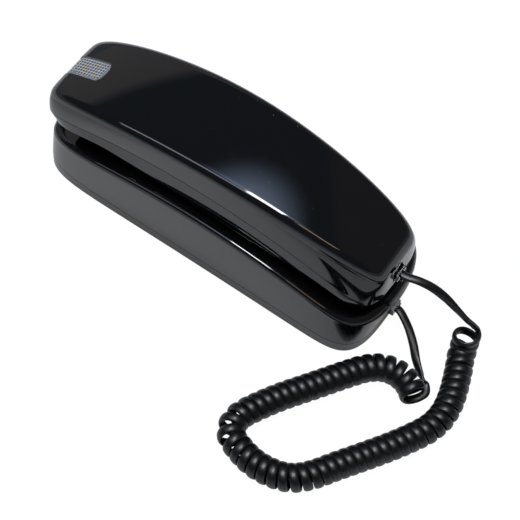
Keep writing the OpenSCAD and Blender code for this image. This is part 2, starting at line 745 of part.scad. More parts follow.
module back_loft() {
    top = roll_shape(1);
    side = top[2];
    loft([
        back_ring(inset(top, 22, 24, 0.6 * side), -wall, 1),
        back_ring(inset(top, 4, 4, 2), -wall, 1),
        back_ring(even(roll_shape(0.3), wall), -edge_r - 0.4, 1),
        back_ring(even(between(seam_shape, back_shape, 0.5), wall), -edge_r, 0.5),
        arch_ring(even(seam_shape, wall), seam_arch, seam_gap),
        arch_ring(even(seam_shape, groove_in), seam_arch, seam_gap),
        arch_ring(seam_shape, seam_arch, seam_groove),
        back_ring(between(seam_shape, back_shape, 0.35), -edge_r, 0.35),
        back_ring(between(seam_shape, back_shape, 0.7), -edge_r, 0.7),
        roll_ring(0), roll_ring(30), roll_ring(55), roll_ring(75), roll_ring(90),
        back_ring(inset(top, 8, 10, 0.3 * side), 0, 1),
        back_ring(inset(top, 20, 22, 0.65 * side), 0, 1)]);
}

// The lens takes the place of the shell over this box at the ear end
lens_x = ear_end + ear_lean + lens_l;
lens_low = arch(back_arch, ear_end) - 0.9;
module lens_zone(grow) {
    translate([lens_x + grow - 40, -lens_w / 2, lens_low - grow]) cube([40, lens_w, 60]);
}

handset_wall_x = cord_end - 0.35 * cord_lean;
handset_jack_x = handset_wall_x - wall - 1 - jack_l;
jack_top = handset_jack_z + jack_down;
weight_y = 9;
bar_z = back_h - wall - 9.6;
bar_t = 4;
bar_l = 44;
lamp_board_z = 56.5;
lamp_board_t = 1;
lamp_x = lens_x - 12;
lamp_l = 12;
lamp_w = 24;

// A rib or post that hangs from the inside of the back, from height z
module hung_box(x0, x1, y0, y1, z) {
    hull() {
        translate([x0, y0, z]) cube([x1 - x0, y1 - y0, 1]);
        for (x = [x0, x1 - 0.1], y = [y0, y1 - 0.1])
            translate([x, y, back_z(x, y) - 0.6 * wall - 0.5]) cube([0.1, 0.1, 0.5]);
    }
}

module handset_back_shell() {
    color("#141416") place() difference() {
        union() {
            back_loft();
            for (x = case_screw_x, s = [-1, 1]) translate([x, s * case_screw_y, case_meet])
                cylinder(r = boss_r, h = back_z(x, case_screw_y) - wall / 2 - case_meet);
            // Ribs that press on the jack and carry the weight and the lamp's board
            hung_box(handset_jack_x + 2, handset_jack_x + 6, handset_jack_y - 5, handset_jack_y + 5,
                jack_top);
            for (x = [-8, 18]) hung_box(x, x + 2, -weight_y, weight_y, bar_z + bar_t);
            for (s = [-1, 1]) translate([lamp_x, s * (lamp_w / 2 - 2), lamp_board_z + lamp_board_t])
                cylinder(r = 1.6, h = back_z(lamp_x, lamp_w / 2) - wall / 2
                    - lamp_board_z - lamp_board_t);
        }
        for (x = case_screw_x, s = [-1, 1]) translate([x, s * case_screw_y, case_meet - eps])
            cylinder(r = pilot_r, h = case_screw_l);
        lens_zone(0);
        translate([cord_end - 12, handset_jack_y - plug_w / 2 - 0.6,
                handset_jack_z - plug_h / 2 - latch_h - 0.5])
            cube([20, plug_w + 1.2, plug_h + latch_h + 2.2]);
    }
}

module ring_lamp_lens() {
    color("#e8eef0", 0.8) place() intersection() {
        back_loft();
        lens_zone(-0.08);
    }
}

module ring_lamp_led() {
    color("#2f6b45") place() translate([lamp_x, 0, lamp_board_z]) {
        translate([-lamp_l / 2, -lamp_w / 2, 0]) cube([lamp_l, lamp_w, lamp_board_t]);
        for (s = [-1, 1]) translate([0, s * 3.5, lamp_board_t - eps]) {
            cylinder(r = 1.5, h = 3);
            translate([0, 0, 3]) sphere(1.5);
        }
    }
}

capsule_r = 16;
capsule_t = 7;
gasket_t = 1;
module receiver_capsule() {
    color("#3a3a3c") place() at_ear() translate([0, 0, cup_floor + gasket_t]) {
        cylinder(r = capsule_r, h = 3);
        cylinder(r = capsule_r - 3, h = capsule_t);
    }
}

module receiver_gasket() {
    color("#1f1f21") place() at_ear() translate([0, 0, cup_floor]) difference() {
        cylinder(r = capsule_r, h = gasket_t);
        translate([0, 0, -1]) cylinder(r = capsule_r - 3, h = gasket_t + 2);
    }
}

mic_r = 4.85;
mic_t = 5;
boot_wall = 2;
module microphone_capsule() {
    color("silver") place() at_mouth() translate([0, 0, cup_floor + boot_wall])
        cylinder(r = mic_r, h = mic_t);
}

module microphone_boot() {
    color("#1f1f21") place() at_mouth() translate([0, 0, cup_floor]) difference() {
        cylinder(r = mic_r + boot_wall, h = boot_wall + mic_t);
        translate([0, 0, boot_wall]) cylinder(r = mic_r, h = mic_t + 1);
        translate([0, 0, -1]) cylinder(r = 3, h = boot_wall + 2);
    }
}

module keypad_mat() {
    color("#6f7276") place() keypad_frame() {
        u0 = key_u[0] - key_l / 2 - 2;
        translate([(u0 + board_u1 - 5) / 2, 0, mat_w])
            round_plate(board_u1 - 5 - u0, 2 * board_v - 3, mat_t, 2);
        // Domes under the keys
        for (r = [0:3], v = key_v) translate([key_u[r], v, mat_w - 0.4])
            cylinder(r = 2.8, h = 0.5);
        for (v = extra_v) translate([key_u[4], v, mat_w - 0.4]) cylinder(r = 2, h = 0.5);
    }
}

module handset_circuit_board() {
    color("#2f6b45") place() keypad_frame() {
        translate([(board_u0 + board_u1) / 2, 0, board_w])
            round_plate(board_u1 - board_u0, 2 * board_v, board_t, 1);
        translate([-20, -8, board_w + board_t - eps]) cube([14, 9, 2.5]);
        translate([8, 6, board_w + board_t - eps]) cylinder(r = 3.2, h = 8);
        translate([20, -6, board_w + board_t - eps]) cube([7, 5, 3]);
    }
}

module handset_jack() {
    color("#1b1b1d") place() translate([handset_jack_x, handset_jack_y, handset_jack_z])
        mirror([0, 0, 1]) jack(jack_w, jack_l, plug_w);
}

module handset_weight() {
    color("#7d8288") place() translate([-12, -weight_y, bar_z]) cube([bar_l, 2 * weight_y, bar_t]);
}

module handset_screws() {
    color("silver") place() for (x = case_screw_x, s = [-1, 1])
        translate([x, s * case_screw_y, face_plane(x) + 4])
            screw(case_meet + case_screw_l - 1.5 - face_plane(x) - 4);
}

// ---------------------------------------------------------------------------------------
// Keys

// One key: cap, lip and the slight dish of its top; the finger meets it at w = -key_proud
module key(u, v, l) {
    color("#2b2c2f") place() keypad_frame() translate([u, v, 0]) difference() {
        union() {
            translate([0, 0, -key_proud])
                round_plate(l, key_w, key_proud + lip_w + key_lip_t, 1.6);
            translate([0, 0, lip_w])
                round_plate(l + 2 * key_lip, key_w + 2 * key_lip, key_lip_t, 1.6);
        }
        translate([0, 0, -key_proud - 29.65]) sphere(30, $fn = 96);
    }
}

module digit_key(r, c) {
    key(key_u[r], key_v[c], key_l);
}

module extra_key(i) {
    key(key_u[4], extra_v[i], key_l - 2);
}

module volume_slider() {
    color("#2b2c2f") place() keypad_frame() translate([volume_u, 0, 0]) {
        translate([0, 0, -1.2]) round_plate(volume_w, volume_l, 1.2 + lip_w + eps, 0.8);
        translate([0, 0, lip_w])
            round_plate(volume_w + 3, volume_l + 2 * volume_travel + 2, volume_plate, 0.8);
        for (i = [-1:1]) translate([-volume_w / 2 + 0.4, i * 1.6 - 0.25, -1.5])
            cube([volume_w - 0.8, 0.5, 0.31]);
    }
}

// ---------------------------------------------------------------------------------------
// Cord and its two plugs

contact_pitch = 1.27;
contact_w = 0.45;

// A plug that goes in along -X, its shoulder plug_out from the shell's wall; latch on +Z
module plug() {
    translate([plug_out - plug_l, -plug_w / 2, -plug_h / 2]) difference() {
        cube([plug_l, plug_w, plug_h]);
        // Contact slots in the nose, on the side away from the latch
        for (i = [-1.5:1.5]) translate([-eps, plug_w / 2 + i * contact_pitch - contact_w / 2, -eps])
            cube([4, contact_w, plug_h - 2]);
        // Anchor notch
        translate([5.5, 1, -eps]) cube([2.2, plug_w - 2, 1.4]);
    }
    // Latch, hinged at the nose and rising to its thumb tab
    rotate([90, 0, 0]) translate([0, 0, -latch_w / 2]) linear_extrude(latch_w)
        polygon([[plug_out - plug_l, plug_h / 2 - 0.6], [plug_out - plug_l + 2, plug_h / 2 + 0.1],
            [plug_out - 3.5, plug_h / 2 + 0.9], [plug_out + 1.5, plug_h / 2 + 1.5],
            [plug_out + 1.5, plug_h / 2 + 0.9], [plug_out - 3.5, plug_h / 2 + 0.2],
            [plug_out - plug_l + 2.4, plug_h / 2 - 0.6]]);
}

module plug_handset() {
    color("#d9dde0", 0.6) place() translate([handset_wall_x, handset_jack_y, handset_jack_z])
        mirror([0, 0, 1]) plug();
}

module plug_base() {
    color("#d9dde0", 0.6) place() translate([base_wall_x, base_jack_y, base_jack_z]) plug();
}

// Route of the handset's lead, from the plug's back face to the coil's upper end
lead_gap = 0.05;
handset_exit = [base_x + handset_wall_x + plug_out + lead_gap, handset_jack_y, handset_jack_z];
handset_route = [[122, 1, 48], [129, 3, 45.5], [137, 4.5, 40.5], [145, 5, 34.5], [152, 5, 28.5],
    [158, 5, 22], [160, 4.5, 18]];

// Route of the base's lead, from the plug's back face to the coil's lower end
base_exit = [base_x + base_wall_x + plug_out + lead_gap, base_jack_y, base_jack_z];
base_route = [[122, -4, 12.5], [128, -8, 10], [133, -13, 8], [137, -18, 7.2], [140, -24, 7.2],
    [144, -30, 7.2]];

// Middle line of the coil, from its upper end by the handset round to its lower end
coil_route = [[154.5, 3.5, 19], [155, 2.5, 14], [156, 0, 9.5], [157.5, -5, 7.2], [160, -11, 7.2],
    [162.5, -18, 7.2], [165, -26, 7.2], [166.5, -34, 7.2], [166.5, -42, 7.2], [164.5, -50, 7.2],
    [160.5, -58, 7.2], [154, -69, 7.2], [146, -81, 7.2], [137, -94, 7.2], [128, -107, 7.2],
    [121, -113.5, 7.2], [112, -117, 7.2], [101, -118, 7.2], [90.5, -116, 7.2],
    [82.5, -112.5, 7.2], [79.5, -107, 7.2], [80, -100.5, 7.2], [84, -92, 7.2], [91, -80, 7.2],
    [102, -64, 7.2], [113, -48, 7.2], [119.5, -39.5, 7.2], [127, -34, 7.2], [135.5, -32.5, 7.2],
    [143, -34.5, 7.2], [148, -38, 7.2]];

function unit(v) = v / norm(v);

// A point on a smooth curve through four points, between the second and the third
function spline(a, b, c, d, t) = 0.5 * ((2 * b) + (c - a) * t + (2 * a - 5 * b + 4 * c - d) * t * t
    + (3 * b - a - 3 * c + d) * t * t * t);
function smooth(p, n) = concat([for (i = [0:len(p) - 2], j = [0:n - 1])
    spline(p[max(i - 1, 0)], p[i], p[i + 1], p[min(i + 2, len(p) - 1)], j / n)], [p[len(p) - 1]]);

// A round tube of radius r swept along points, its two end rings square to the directions given
module sweep(p, r, sides, d0, d1) {
    n = len(p);
    rings = [for (i = [0:n - 1]) let (
            t = i == 0 ? unit(d0) : (i == n - 1 ? unit(d1) : unit(p[i + 1] - p[i - 1])),
            side = unit(cross([0.01, 0.02, 1], abs(t[2]) > 0.95 ? [t[0] + 1, t[1], 0] : t)),
            across = unit(side - t * (side * t)), up = cross(t, across))
        [for (j = [0:sides - 1]) let (a = (j + 0.5) * 360 / sides)
            p[i] + r / cos(180 / sides) * (across * cos(a) + up * sin(a))]];
    skin = [for (i = [0:n - 2], j = [0:sides - 1]) each let (a = i * sides + j,
            b = i * sides + (j + 1) % sides) [[a, b + sides, b], [a, a + sides, b + sides]]];
    ends = [[for (j = [0:sides - 1]) j], [for (j = [sides - 1:-1:0]) (n - 1) * sides + j]];
    polyhedron([for (g = rings) each g], concat(skin, ends));
}

module cord_lead_handset() {
    color("#161617") {
        p = concat([handset_exit], handset_route);
        sweep(smooth(p, 2), lead_d / 2, 8, [1, 0, 0], p[len(p) - 1] - p[len(p) - 2]);
    }
}

module cord_lead_base() {
    color("#161617") {
        p = concat([base_exit], base_route);
        sweep(smooth(p, 2), lead_d / 2, 8, [1, 0, 0], p[len(p) - 1] - p[len(p) - 2]);
    }
}

module cord_coil() {
    color("#161617") sweep(coil_route, coil_d / 2 * cos(15), 12, [0, 0, -1], [1, -0.7, 0]);
}

base_upper_shell();
base_bottom_cover();
rubber_feet();
handset_hook_tab();
hook_plunger();
hook_spring();
hook_switch();
base_circuit_board();
ringer_disc();
ringer_switch();
base_jack();
line_jack();
base_weight();
base_screws();
handset_back_shell();
handset_front_shell();
ring_lamp_lens();
ring_lamp_led();
receiver_capsule();
receiver_gasket();
microphone_capsule();
microphone_boot();
keypad_mat();
handset_circuit_board();
handset_jack();
handset_weight();
handset_screws();
digit_key(0, 0);  // key_1
digit_key(0, 1);  // key_2
digit_key(0, 2);  // key_3
digit_key(1, 0);  // key_4
digit_key(1, 1);  // key_5
digit_key(1, 2);  // key_6
digit_key(2, 0);  // key_7
digit_key(2, 1);  // key_8
digit_key(2, 2);  // key_9
digit_key(3, 0);  // key_star
digit_key(3, 1);  // key_0
digit_key(3, 2);  // key_hash
extra_key(0);  // key_redial
extra_key(1);  // key_flash
volume_slider();
plug_handset();
plug_base();
cord_lead_handset();
cord_coil();
cord_lead_base();
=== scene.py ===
"""Looks of a slimline corded telephone: glossy black shells, a clear ring lamp, keys and a coiled cord.

The frame is in metres. Shapes are worked out in millimetres, the unit of the moulds, and every mesh is
scaled to metres as it is made. X runs from the ear end to the cord end, and Z is up from the table.
"""
import math

import bpy
import numpy as np
from mathutils import Matrix, Vector


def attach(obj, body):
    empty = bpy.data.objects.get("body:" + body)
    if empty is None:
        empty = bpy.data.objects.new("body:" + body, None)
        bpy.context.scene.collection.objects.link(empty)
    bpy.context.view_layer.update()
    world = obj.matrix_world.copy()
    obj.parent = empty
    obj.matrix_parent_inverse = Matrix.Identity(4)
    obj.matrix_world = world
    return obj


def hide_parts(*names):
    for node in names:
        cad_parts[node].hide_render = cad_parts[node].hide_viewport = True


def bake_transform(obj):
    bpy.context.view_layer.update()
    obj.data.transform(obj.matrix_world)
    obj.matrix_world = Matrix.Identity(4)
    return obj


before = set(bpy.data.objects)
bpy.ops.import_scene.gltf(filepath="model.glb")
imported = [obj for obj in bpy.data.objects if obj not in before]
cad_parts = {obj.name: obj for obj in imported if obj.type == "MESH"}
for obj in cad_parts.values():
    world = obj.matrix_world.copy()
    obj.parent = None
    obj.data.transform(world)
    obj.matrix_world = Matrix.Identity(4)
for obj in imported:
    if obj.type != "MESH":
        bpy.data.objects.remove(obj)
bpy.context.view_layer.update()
MM = 0.001

# ------------------------------------------------------------------------------------------
# Sizes of the mouldings, in mm, measured from the middle of the base

BASE_X = 2.4            # the base's middle in the frame
HALF = 111.0            # half the base's length over its rim
REF = 110.0             # where the arches' falls are measured
RIM_ARCH = (47.4, -1.2, -20.6)
TRAY_ARCH = (43.5, -1.4, -21.5)
SEAM_ARCH = (64.2, -3.1, -22.2)
BACK_ARCH = (83.8, 1.5, -24.4)
CROWN = 1.4
HANDSET_HALF_W = 29.4
COVER_H = 8.7
FOOT_PROUD = 0.5
WALL = 2.4
ROLL_H = 3.0
GROOVE = 0.25
GROOVE_IN = 0.4
FACE_H = 47.8
FACE_TILT = math.radians(3)
FRONT_DEPTH = 8.0


def arch(c, x):
    return c[0] + c[1] * x / REF + c[2] * (x / REF) ** 2


def arch_tilt(c, x):
    return -math.atan((c[1] + 2 * c[2] * x / REF) / REF)


def back_z(x, y):
    return arch(BACK_ARCH, x) + CROWN * (1 - (y / HANDSET_HALF_W) ** 2)


def edge_h(x):
    """Height of the back's rolled edge, which grows towards the cord end."""
    return 3.6 + 3.3 * np.clip((np.asarray(x) - 10) / 80, 0, 1)


def face_plane(x):
    return FACE_H - math.tan(FACE_TILT) * x


def face_z(x):
    """The keypad's plane, eased into the line that keeps the front shell's depth near the cups."""
    side = arch(SEAM_ARCH, x) - FRONT_DEPTH
    ease = 1.2
    return -ease * np.logaddexp(-face_plane(x) / ease, -side / ease)


# ------------------------------------------------------------------------------------------
# Outlines: rounded oblongs (ear end x, cord end x, half width, end powers, side powers, and the share
# of the width that is lost by the tip of the cord end, where the mouldings narrow)

NARROW_FROM = -40.0
QUARTER_POINTS = 44


def quarter(n, m):
    """A quarter of a unit outline, from the nose of an end to mid side, closer where it turns."""
    a = np.linspace(0, math.pi / 2, 6001)
    x, y = np.cos(a) ** (2 / n), np.sin(a) ** (2 / m)
    x[-1], y[0] = 0, 0
    step = np.hypot(np.diff(x), np.diff(y))
    way = np.unwrap(np.arctan2(np.diff(y), np.diff(x)))
    turn = np.abs(np.diff(way, prepend=way[0]))
    cost = np.concatenate([[0], np.cumsum(step / step.sum() + 0.9 * turn / (math.pi / 2))])
    at = np.linspace(0, cost[-1], QUARTER_POINTS + 1)
    return np.interp(at, cost, x), np.interp(at, cost, y)


def outline(s):
    ear, cord, half_w, ends, sides, loss = s
    mid, reach = (ear + cord) / 2, (cord - ear) / 2
    px, py = quarter(ends[1], sides[1])
    qx, qy = quarter(ends[0], sides[0])
    x = np.concatenate([mid + reach * px, (mid - reach * qx)[-2::-1]])
    y = np.concatenate([half_w * py, (half_w * qy)[-2::-1]])
    y = y * (1 - loss * (np.maximum(x - NARROW_FROM, 0) / (HALF - NARROW_FROM)) ** 2)
    return np.concatenate([x, x[-2:0:-1]]), np.concatenate([y, -y[-2:0:-1]])


def inset(s, ear, cord, side):
    return (s[0] + ear, s[1] - cord, s[2] - side, *s[3:])


def even(s, d):
    return inset(s, d, d, d)


def between(s, r, t):
    mix = lambda a, b: a + (b - a) * t
    return (mix(s[0], r[0]), mix(s[1], r[1]), mix(s[2], r[2]),
            tuple(mix(a, b) for a, b in zip(s[3], r[3])), tuple(mix(a, b) for a, b in zip(s[4], r[4])),
            mix(s[5], r[5]))


RIM = (-HALF, HALF, 37.7, (5.3, 13.4), (4.45, 2.2), 0.035)
FOOT = (-HALF - 0.2, HALF - 2.6, 38.3, (8.6, 13.8), (5.3, 3.4), -0.045)
COVER = between(FOOT, RIM, (COVER_H - FOOT_PROUD) / (RIM_ARCH[0] - FOOT_PROUD))
SEAM = (-HALF - 0.7, HALF - 3.3, 29.85, (12, 24), (5.15, 3.7), 0.092)
FACE = (-HALF + 4.3, HALF - 6.8, 31.0, (12, 20), (5.15, 3.7), 0.092)
BACK = (-HALF + 2.3, HALF - 4.2, 29.4, (2.0, 3.7), (9.9, 7.8), 0.212)
BACK_LEAN = (1.2, 0.4, 0.1)
BACK_ROLL = (5, 6, 5)


def ring(s, height):
    """One ring of points in mm; height is a function of x and y."""
    x, y = outline(s)
    z = height(x, y) + 0 * x
    return np.stack([x, y, z], 1)


def at(z):
    return lambda x, y: z


def on_arch(c, dz=0.0):
    return lambda x, y: arch(c, x) + dz


# ------------------------------------------------------------------------------------------
# Meshes

def mesh_object(name, points, faces, shift=BASE_X):
    mesh = bpy.data.meshes.new(name)
    points = (np.asarray(points, float) + (shift, 0, 0)) * MM
    mesh.from_pydata(points.tolist(), [], faces)
    mesh.update()
    obj = bpy.data.objects.new(name, mesh)
    bpy.context.scene.collection.objects.link(obj)
    return obj


def loft(name, rings):
    """A closed skin through a stack of rings; strips across the oblong close both ends."""
    n = len(rings[0])
    faces = []
    for r in range(len(rings) - 1):
        for i in range(n):
            j = (i + 1) % n
            faces.append((r * n + i, r * n + j, (r + 1) * n + j, (r + 1) * n + i))
    for k, flip in ((0, True), ((len(rings) - 1) * n, False)):
        for i in range(n // 2):
            a, b, c, d = k + i, k + i + 1, k + (n - i - 1) % n, k + (n - i) % n
            face = [a, b, c, d] if 0 < i < n // 2 - 1 else ([a, b, c] if i == 0 else [a, b, d])
            faces.append(tuple(face[::-1] if flip else face))
    return mesh_object(name, np.concatenate(rings), faces)


def shade(obj, angle=32):
    obj.data.polygons.foreach_set("use_smooth", [True] * len(obj.data.polygons))
    obj.data.set_sharp_from_angle(angle=math.radians(angle))


def dress(obj, made):
    obj.data.materials.clear()
    obj.data.materials.append(made)


def base_upper_shell():
    roll = (5.3, 6.6, 4.4)
    top = lambda t: inset(RIM, *(r * t for r in roll))
    rings = [ring(inset(RIM, 7.5, 9.5, 7), on_arch(TRAY_ARCH, -WALL)),
             ring(even(RIM, WALL), on_arch(TRAY_ARCH, -WALL - 0.6)),
             ring(even(COVER, WALL), at(COVER_H)),
             ring(even(COVER, GROOVE_IN), at(COVER_H)),
             ring(COVER, at(COVER_H + GROOVE))]
    low = COVER_H + GROOVE
    for t in np.linspace(0.05, 1, 16):
        rings.append(ring(between(COVER, RIM, t),
                          lambda x, y, t=t: low + (arch(RIM_ARCH, x) - ROLL_H - low) * t))
    for a in np.radians(np.arange(7.5, 173, 7.5)):
        rings.append(ring(top(0.5 * (1 - math.cos(a))), on_arch(RIM_ARCH, -ROLL_H * (1 - math.sin(a)))))
    # The roll runs down inside to the tray, with a small fillet at its foot
    for t, dz in ((1.0, -3.0), (1.03, -3.3)):
        rings.append(ring(top(t), on_arch(RIM_ARCH, dz)))
    for t, dz in ((1.1, 0.35), (1.2, 0.12), (1.35, 0)):
        rings.append(ring(top(t), on_arch(TRAY_ARCH, dz)))
    for d in (9, 12, 16, 20, 24, 27):
        rings.append(ring(even(RIM, d), on_arch(TRAY_ARCH)))
    return loft("base_upper_moulding", rings)


def base_bottom_cover():
    edge = 1.2
    rings = []
    for a in np.radians(np.arange(0, 91, 10)):
        rings.append(ring(even(FOOT, edge * (1 - math.sin(a))), at(FOOT_PROUD + edge * (1 - math.cos(a)))))
    low = FOOT_PROUD + edge
    rise = COVER_H - GROOVE - low
    rings += [ring(between(FOOT, COVER, t), at(low + rise * t)) for t in (0.25, 0.5, 0.75, 1)]
    floor_top = FOOT_PROUD + WALL
    rings += [ring(even(COVER, GROOVE_IN), at(COVER_H)), ring(even(COVER, WALL), at(COVER_H)),
              ring(even(COVER, WALL), at(floor_top + 1)), ring(even(COVER, WALL + 1), at(floor_top))]
    return loft("base_bottom_moulding", rings)


def back_ring(s, dz, t):
    """A ring that stands t of the way from the seam to the back; dz is a number or a function of x."""
    drop = dz if callable(dz) else lambda x: dz
    return ring(s, lambda x, y: arch(SEAM_ARCH, x) * (1 - t) + (back_z(x, y) + drop(x)) * t)


def handset_back_shell():
    seam = on_arch(SEAM_ARCH)
    wall_top = inset(BACK, *(-lean for lean in BACK_LEAN))
    low_edge = lambda x: -edge_h(x)
    rings = [back_ring(inset(BACK, 30, 34, 20), -WALL, 1), back_ring(inset(BACK, 8, 11, 8), -WALL, 1),
             back_ring(inset(BACK, WALL + 1, WALL + 2, WALL + 1), lambda x: -edge_h(x) - 0.4, 1),
             back_ring(even(between(SEAM, BACK, 0.5), WALL), low_edge, 0.5),
             ring(even(SEAM, WALL), seam), ring(even(SEAM, GROOVE_IN), seam),
             ring(SEAM, on_arch(SEAM_ARCH, GROOVE))]
    # The walls, ruled between the seam and the foot of the rolled edge
    for t in np.linspace(0.06, 0.94, 12):
        rings.append(back_ring(between(SEAM, wall_top, t), low_edge, t))
    # The rolled edge is a quarter of an ellipse, tangent to the leaning wall and to the back
    middle = math.sqrt(0.5)
    for t in np.linspace(0, 1, 17):
        low, mid, high = (1 - t) ** 2, 2 * middle * t * (1 - t), t ** 2
        whole = low + mid + high
        s = inset(BACK, *((roll * high - lean * low) / whole for roll, lean in zip(BACK_ROLL, BACK_LEAN)))
        rings.append(back_ring(s, lambda x, share=low / whole: -edge_h(x) * share, 1))
    side = BACK[2] - BACK_ROLL[2]
    for t in (0.04, 0.1, 0.18, 0.28, 0.4, 0.52, 0.64, 0.76, 0.87, 0.95):
        rings.append(back_ring(inset(BACK, BACK_ROLL[0] + 26 * t, BACK_ROLL[1] + 30 * t,
                                     BACK_ROLL[2] + side * t), 0, 1))
    return loft("handset_back_moulding", rings)


def handset_front_shell():
    def face_ring(s, dz, t):
        return ring(s, lambda x, y: (face_z(x) + dz) * (1 - t) + arch(SEAM_ARCH, x) * t)
    edge = 2.2
    rings = [face_ring(even(FACE, d), 0, 0) for d in (24, 18, 12, 8, 5, 3)]
    for a in np.radians(np.arange(0, 91, 9)):
        rings.append(face_ring(even(FACE, edge * (1 - math.sin(a))), edge * (1 - math.cos(a)), 0))
    for t in np.linspace(0.1, 1, 10):
        rings.append(ring(between(FACE, SEAM, t),
                          lambda x, y, t=t: (face_z(x) + edge) * (1 - t) + (arch(SEAM_ARCH, x) - GROOVE) * t))
    rings += [ring(even(SEAM, GROOVE_IN), on_arch(SEAM_ARCH)), ring(even(SEAM, WALL), on_arch(SEAM_ARCH)),
              face_ring(even(FACE, WALL), WALL + 1, 0), face_ring(even(FACE, WALL + 1), WALL, 0),
              face_ring(even(FACE, 20), WALL, 0)]
    return loft("handset_front_moulding", rings)


def revolve(name, profile, centre, tilt=0.0, segments=96):
    """A closed loop of (radius, height) pairs in mm, turned round its own Z and then tilted about Y."""
    points, faces = [], []
    n = len(profile)
    for k in range(segments):
        a = 2 * math.pi * k / segments
        for r, z in profile:
            x, y = r * math.cos(a), r * math.sin(a)
            points.append((centre[0] + x * math.cos(tilt) + z * math.sin(tilt), centre[1] + y,
                           centre[2] - x * math.sin(tilt) + z * math.cos(tilt)))
    for k in range(segments):
        for i in range(n):
            a, b = k * n, ((k + 1) % segments) * n
            j = (i + 1) % n
            faces.append((a + i, b + i, b + j, a + j))
    return mesh_object(name, points, faces)


# ------------------------------------------------------------------------------------------
# Camera and nodes

def colour(hex_code):
    """sRGB hex to the linear values that shaders take."""
    parts = [int(hex_code[i:i + 2], 16) / 255 for i in (1, 3, 5)]
    return tuple(c / 12.92 if c <= 0.04045 else ((c + 0.055) / 1.055) ** 2.4 for c in parts) + (1,)


LENS_LENGTH = 90.17
AZIMUTH, ELEVATION, ROLL = 32.93, 61.217, 2.244
LOOKED_AT, DISTANCE = Vector((0.041627, -0.028621, 0.030)), 0.703533


def add_camera():
    """Seen from high on the near side, so that the phone runs down to the right."""
    camera = bpy.data.cameras.new("camera")
    camera.sensor_width = 36
    camera.lens = LENS_LENGTH
    camera.clip_end = 30
    obj = bpy.data.objects.new("camera", camera)
    bpy.context.scene.collection.objects.link(obj)
    azimuth, elevation, roll = (math.radians(a) for a in (AZIMUTH, ELEVATION, ROLL))
    back = Vector((math.sin(azimuth) * math.cos(elevation), -math.cos(azimuth) * math.cos(elevation),
                   math.sin(elevation)))
    obj.location = LOOKED_AT + back * DISTANCE
    obj.rotation_euler = back.to_track_quat("Z", "Y").to_euler()
    obj.rotation_euler = (obj.rotation_euler.to_matrix() @ Matrix.Rotation(roll, 3, "Z")).to_euler()
    bpy.context.scene.camera = obj


def node(tree, kind, settings=None, **links):
    """Adds a node, sets its properties and default values, and links sockets given by name or number."""
    made = tree.nodes.new(kind)
    for key, value in (settings or {}).items():
        if hasattr(made, key):
            setattr(made, key, value)
        else:
            made.inputs[key].default_value = value
    for key, source in links.items():
        target = made.inputs[int(key[1:]) if key[0] == "i" and key[1:].isdigit() else key.replace("_", " ")]
        tree.links.new(source, target)
    return made


add_camera()


# ------------------------------------------------------------------------------------------
# Materials

def material(name, base, roughness=0.5, ior=1.5, metallic=0.0, **sockets):
    """A material whose uniform values sit on the shader's own sockets."""
    made = bpy.data.materials.new(name)
    made.use_nodes = True
    shader = made.node_tree.nodes["Principled BSDF"]
    shader.inputs["Base Color"].default_value = colour(base)
    shader.inputs["Roughness"].default_value = roughness
    shader.inputs["Metallic"].default_value = metallic
    if not metallic:
        shader.inputs["IOR"].default_value = ior
    for key, value in sockets.items():
        shader.inputs[key.replace("_", " ")].default_value = value
    return made, made.node_tree, shader


def grained(made, tree, shader, grain, depth, rough, tint=None):
    """Gives a surface its grain: a noise of grain mm that moves its height, roughness and tint."""
    place = node(tree, "ShaderNodeTexCoord")
    noise = node(tree, "ShaderNodeTexNoise", {"Scale": 1 / (grain * MM), "Detail": 3.0},
                 Vector=place.outputs["Object"])
    bump = node(tree, "ShaderNodeBump", {"Strength": 1.0, "Distance": depth * MM},
                Height=noise.outputs["Fac"])
    range_ = node(tree, "ShaderNodeMapRange", {"From Min": 0.3, "From Max": 0.7, "To Min": rough[0],
                                               "To Max": rough[1]}, Value=noise.outputs["Fac"])
    tree.links.new(range_.outputs["Result"], shader.inputs["Roughness"])
    tree.links.new(bump.outputs["Normal"], shader.inputs["Normal"])
    if tint:
        mix = node(tree, "ShaderNodeMix", {"data_type": "RGBA"}, Factor=noise.outputs["Fac"])
        mix.inputs[6].default_value, mix.inputs[7].default_value = colour(tint[0]), colour(tint[1])
        tree.links.new(mix.outputs[2], shader.inputs["Base Color"])
    return made


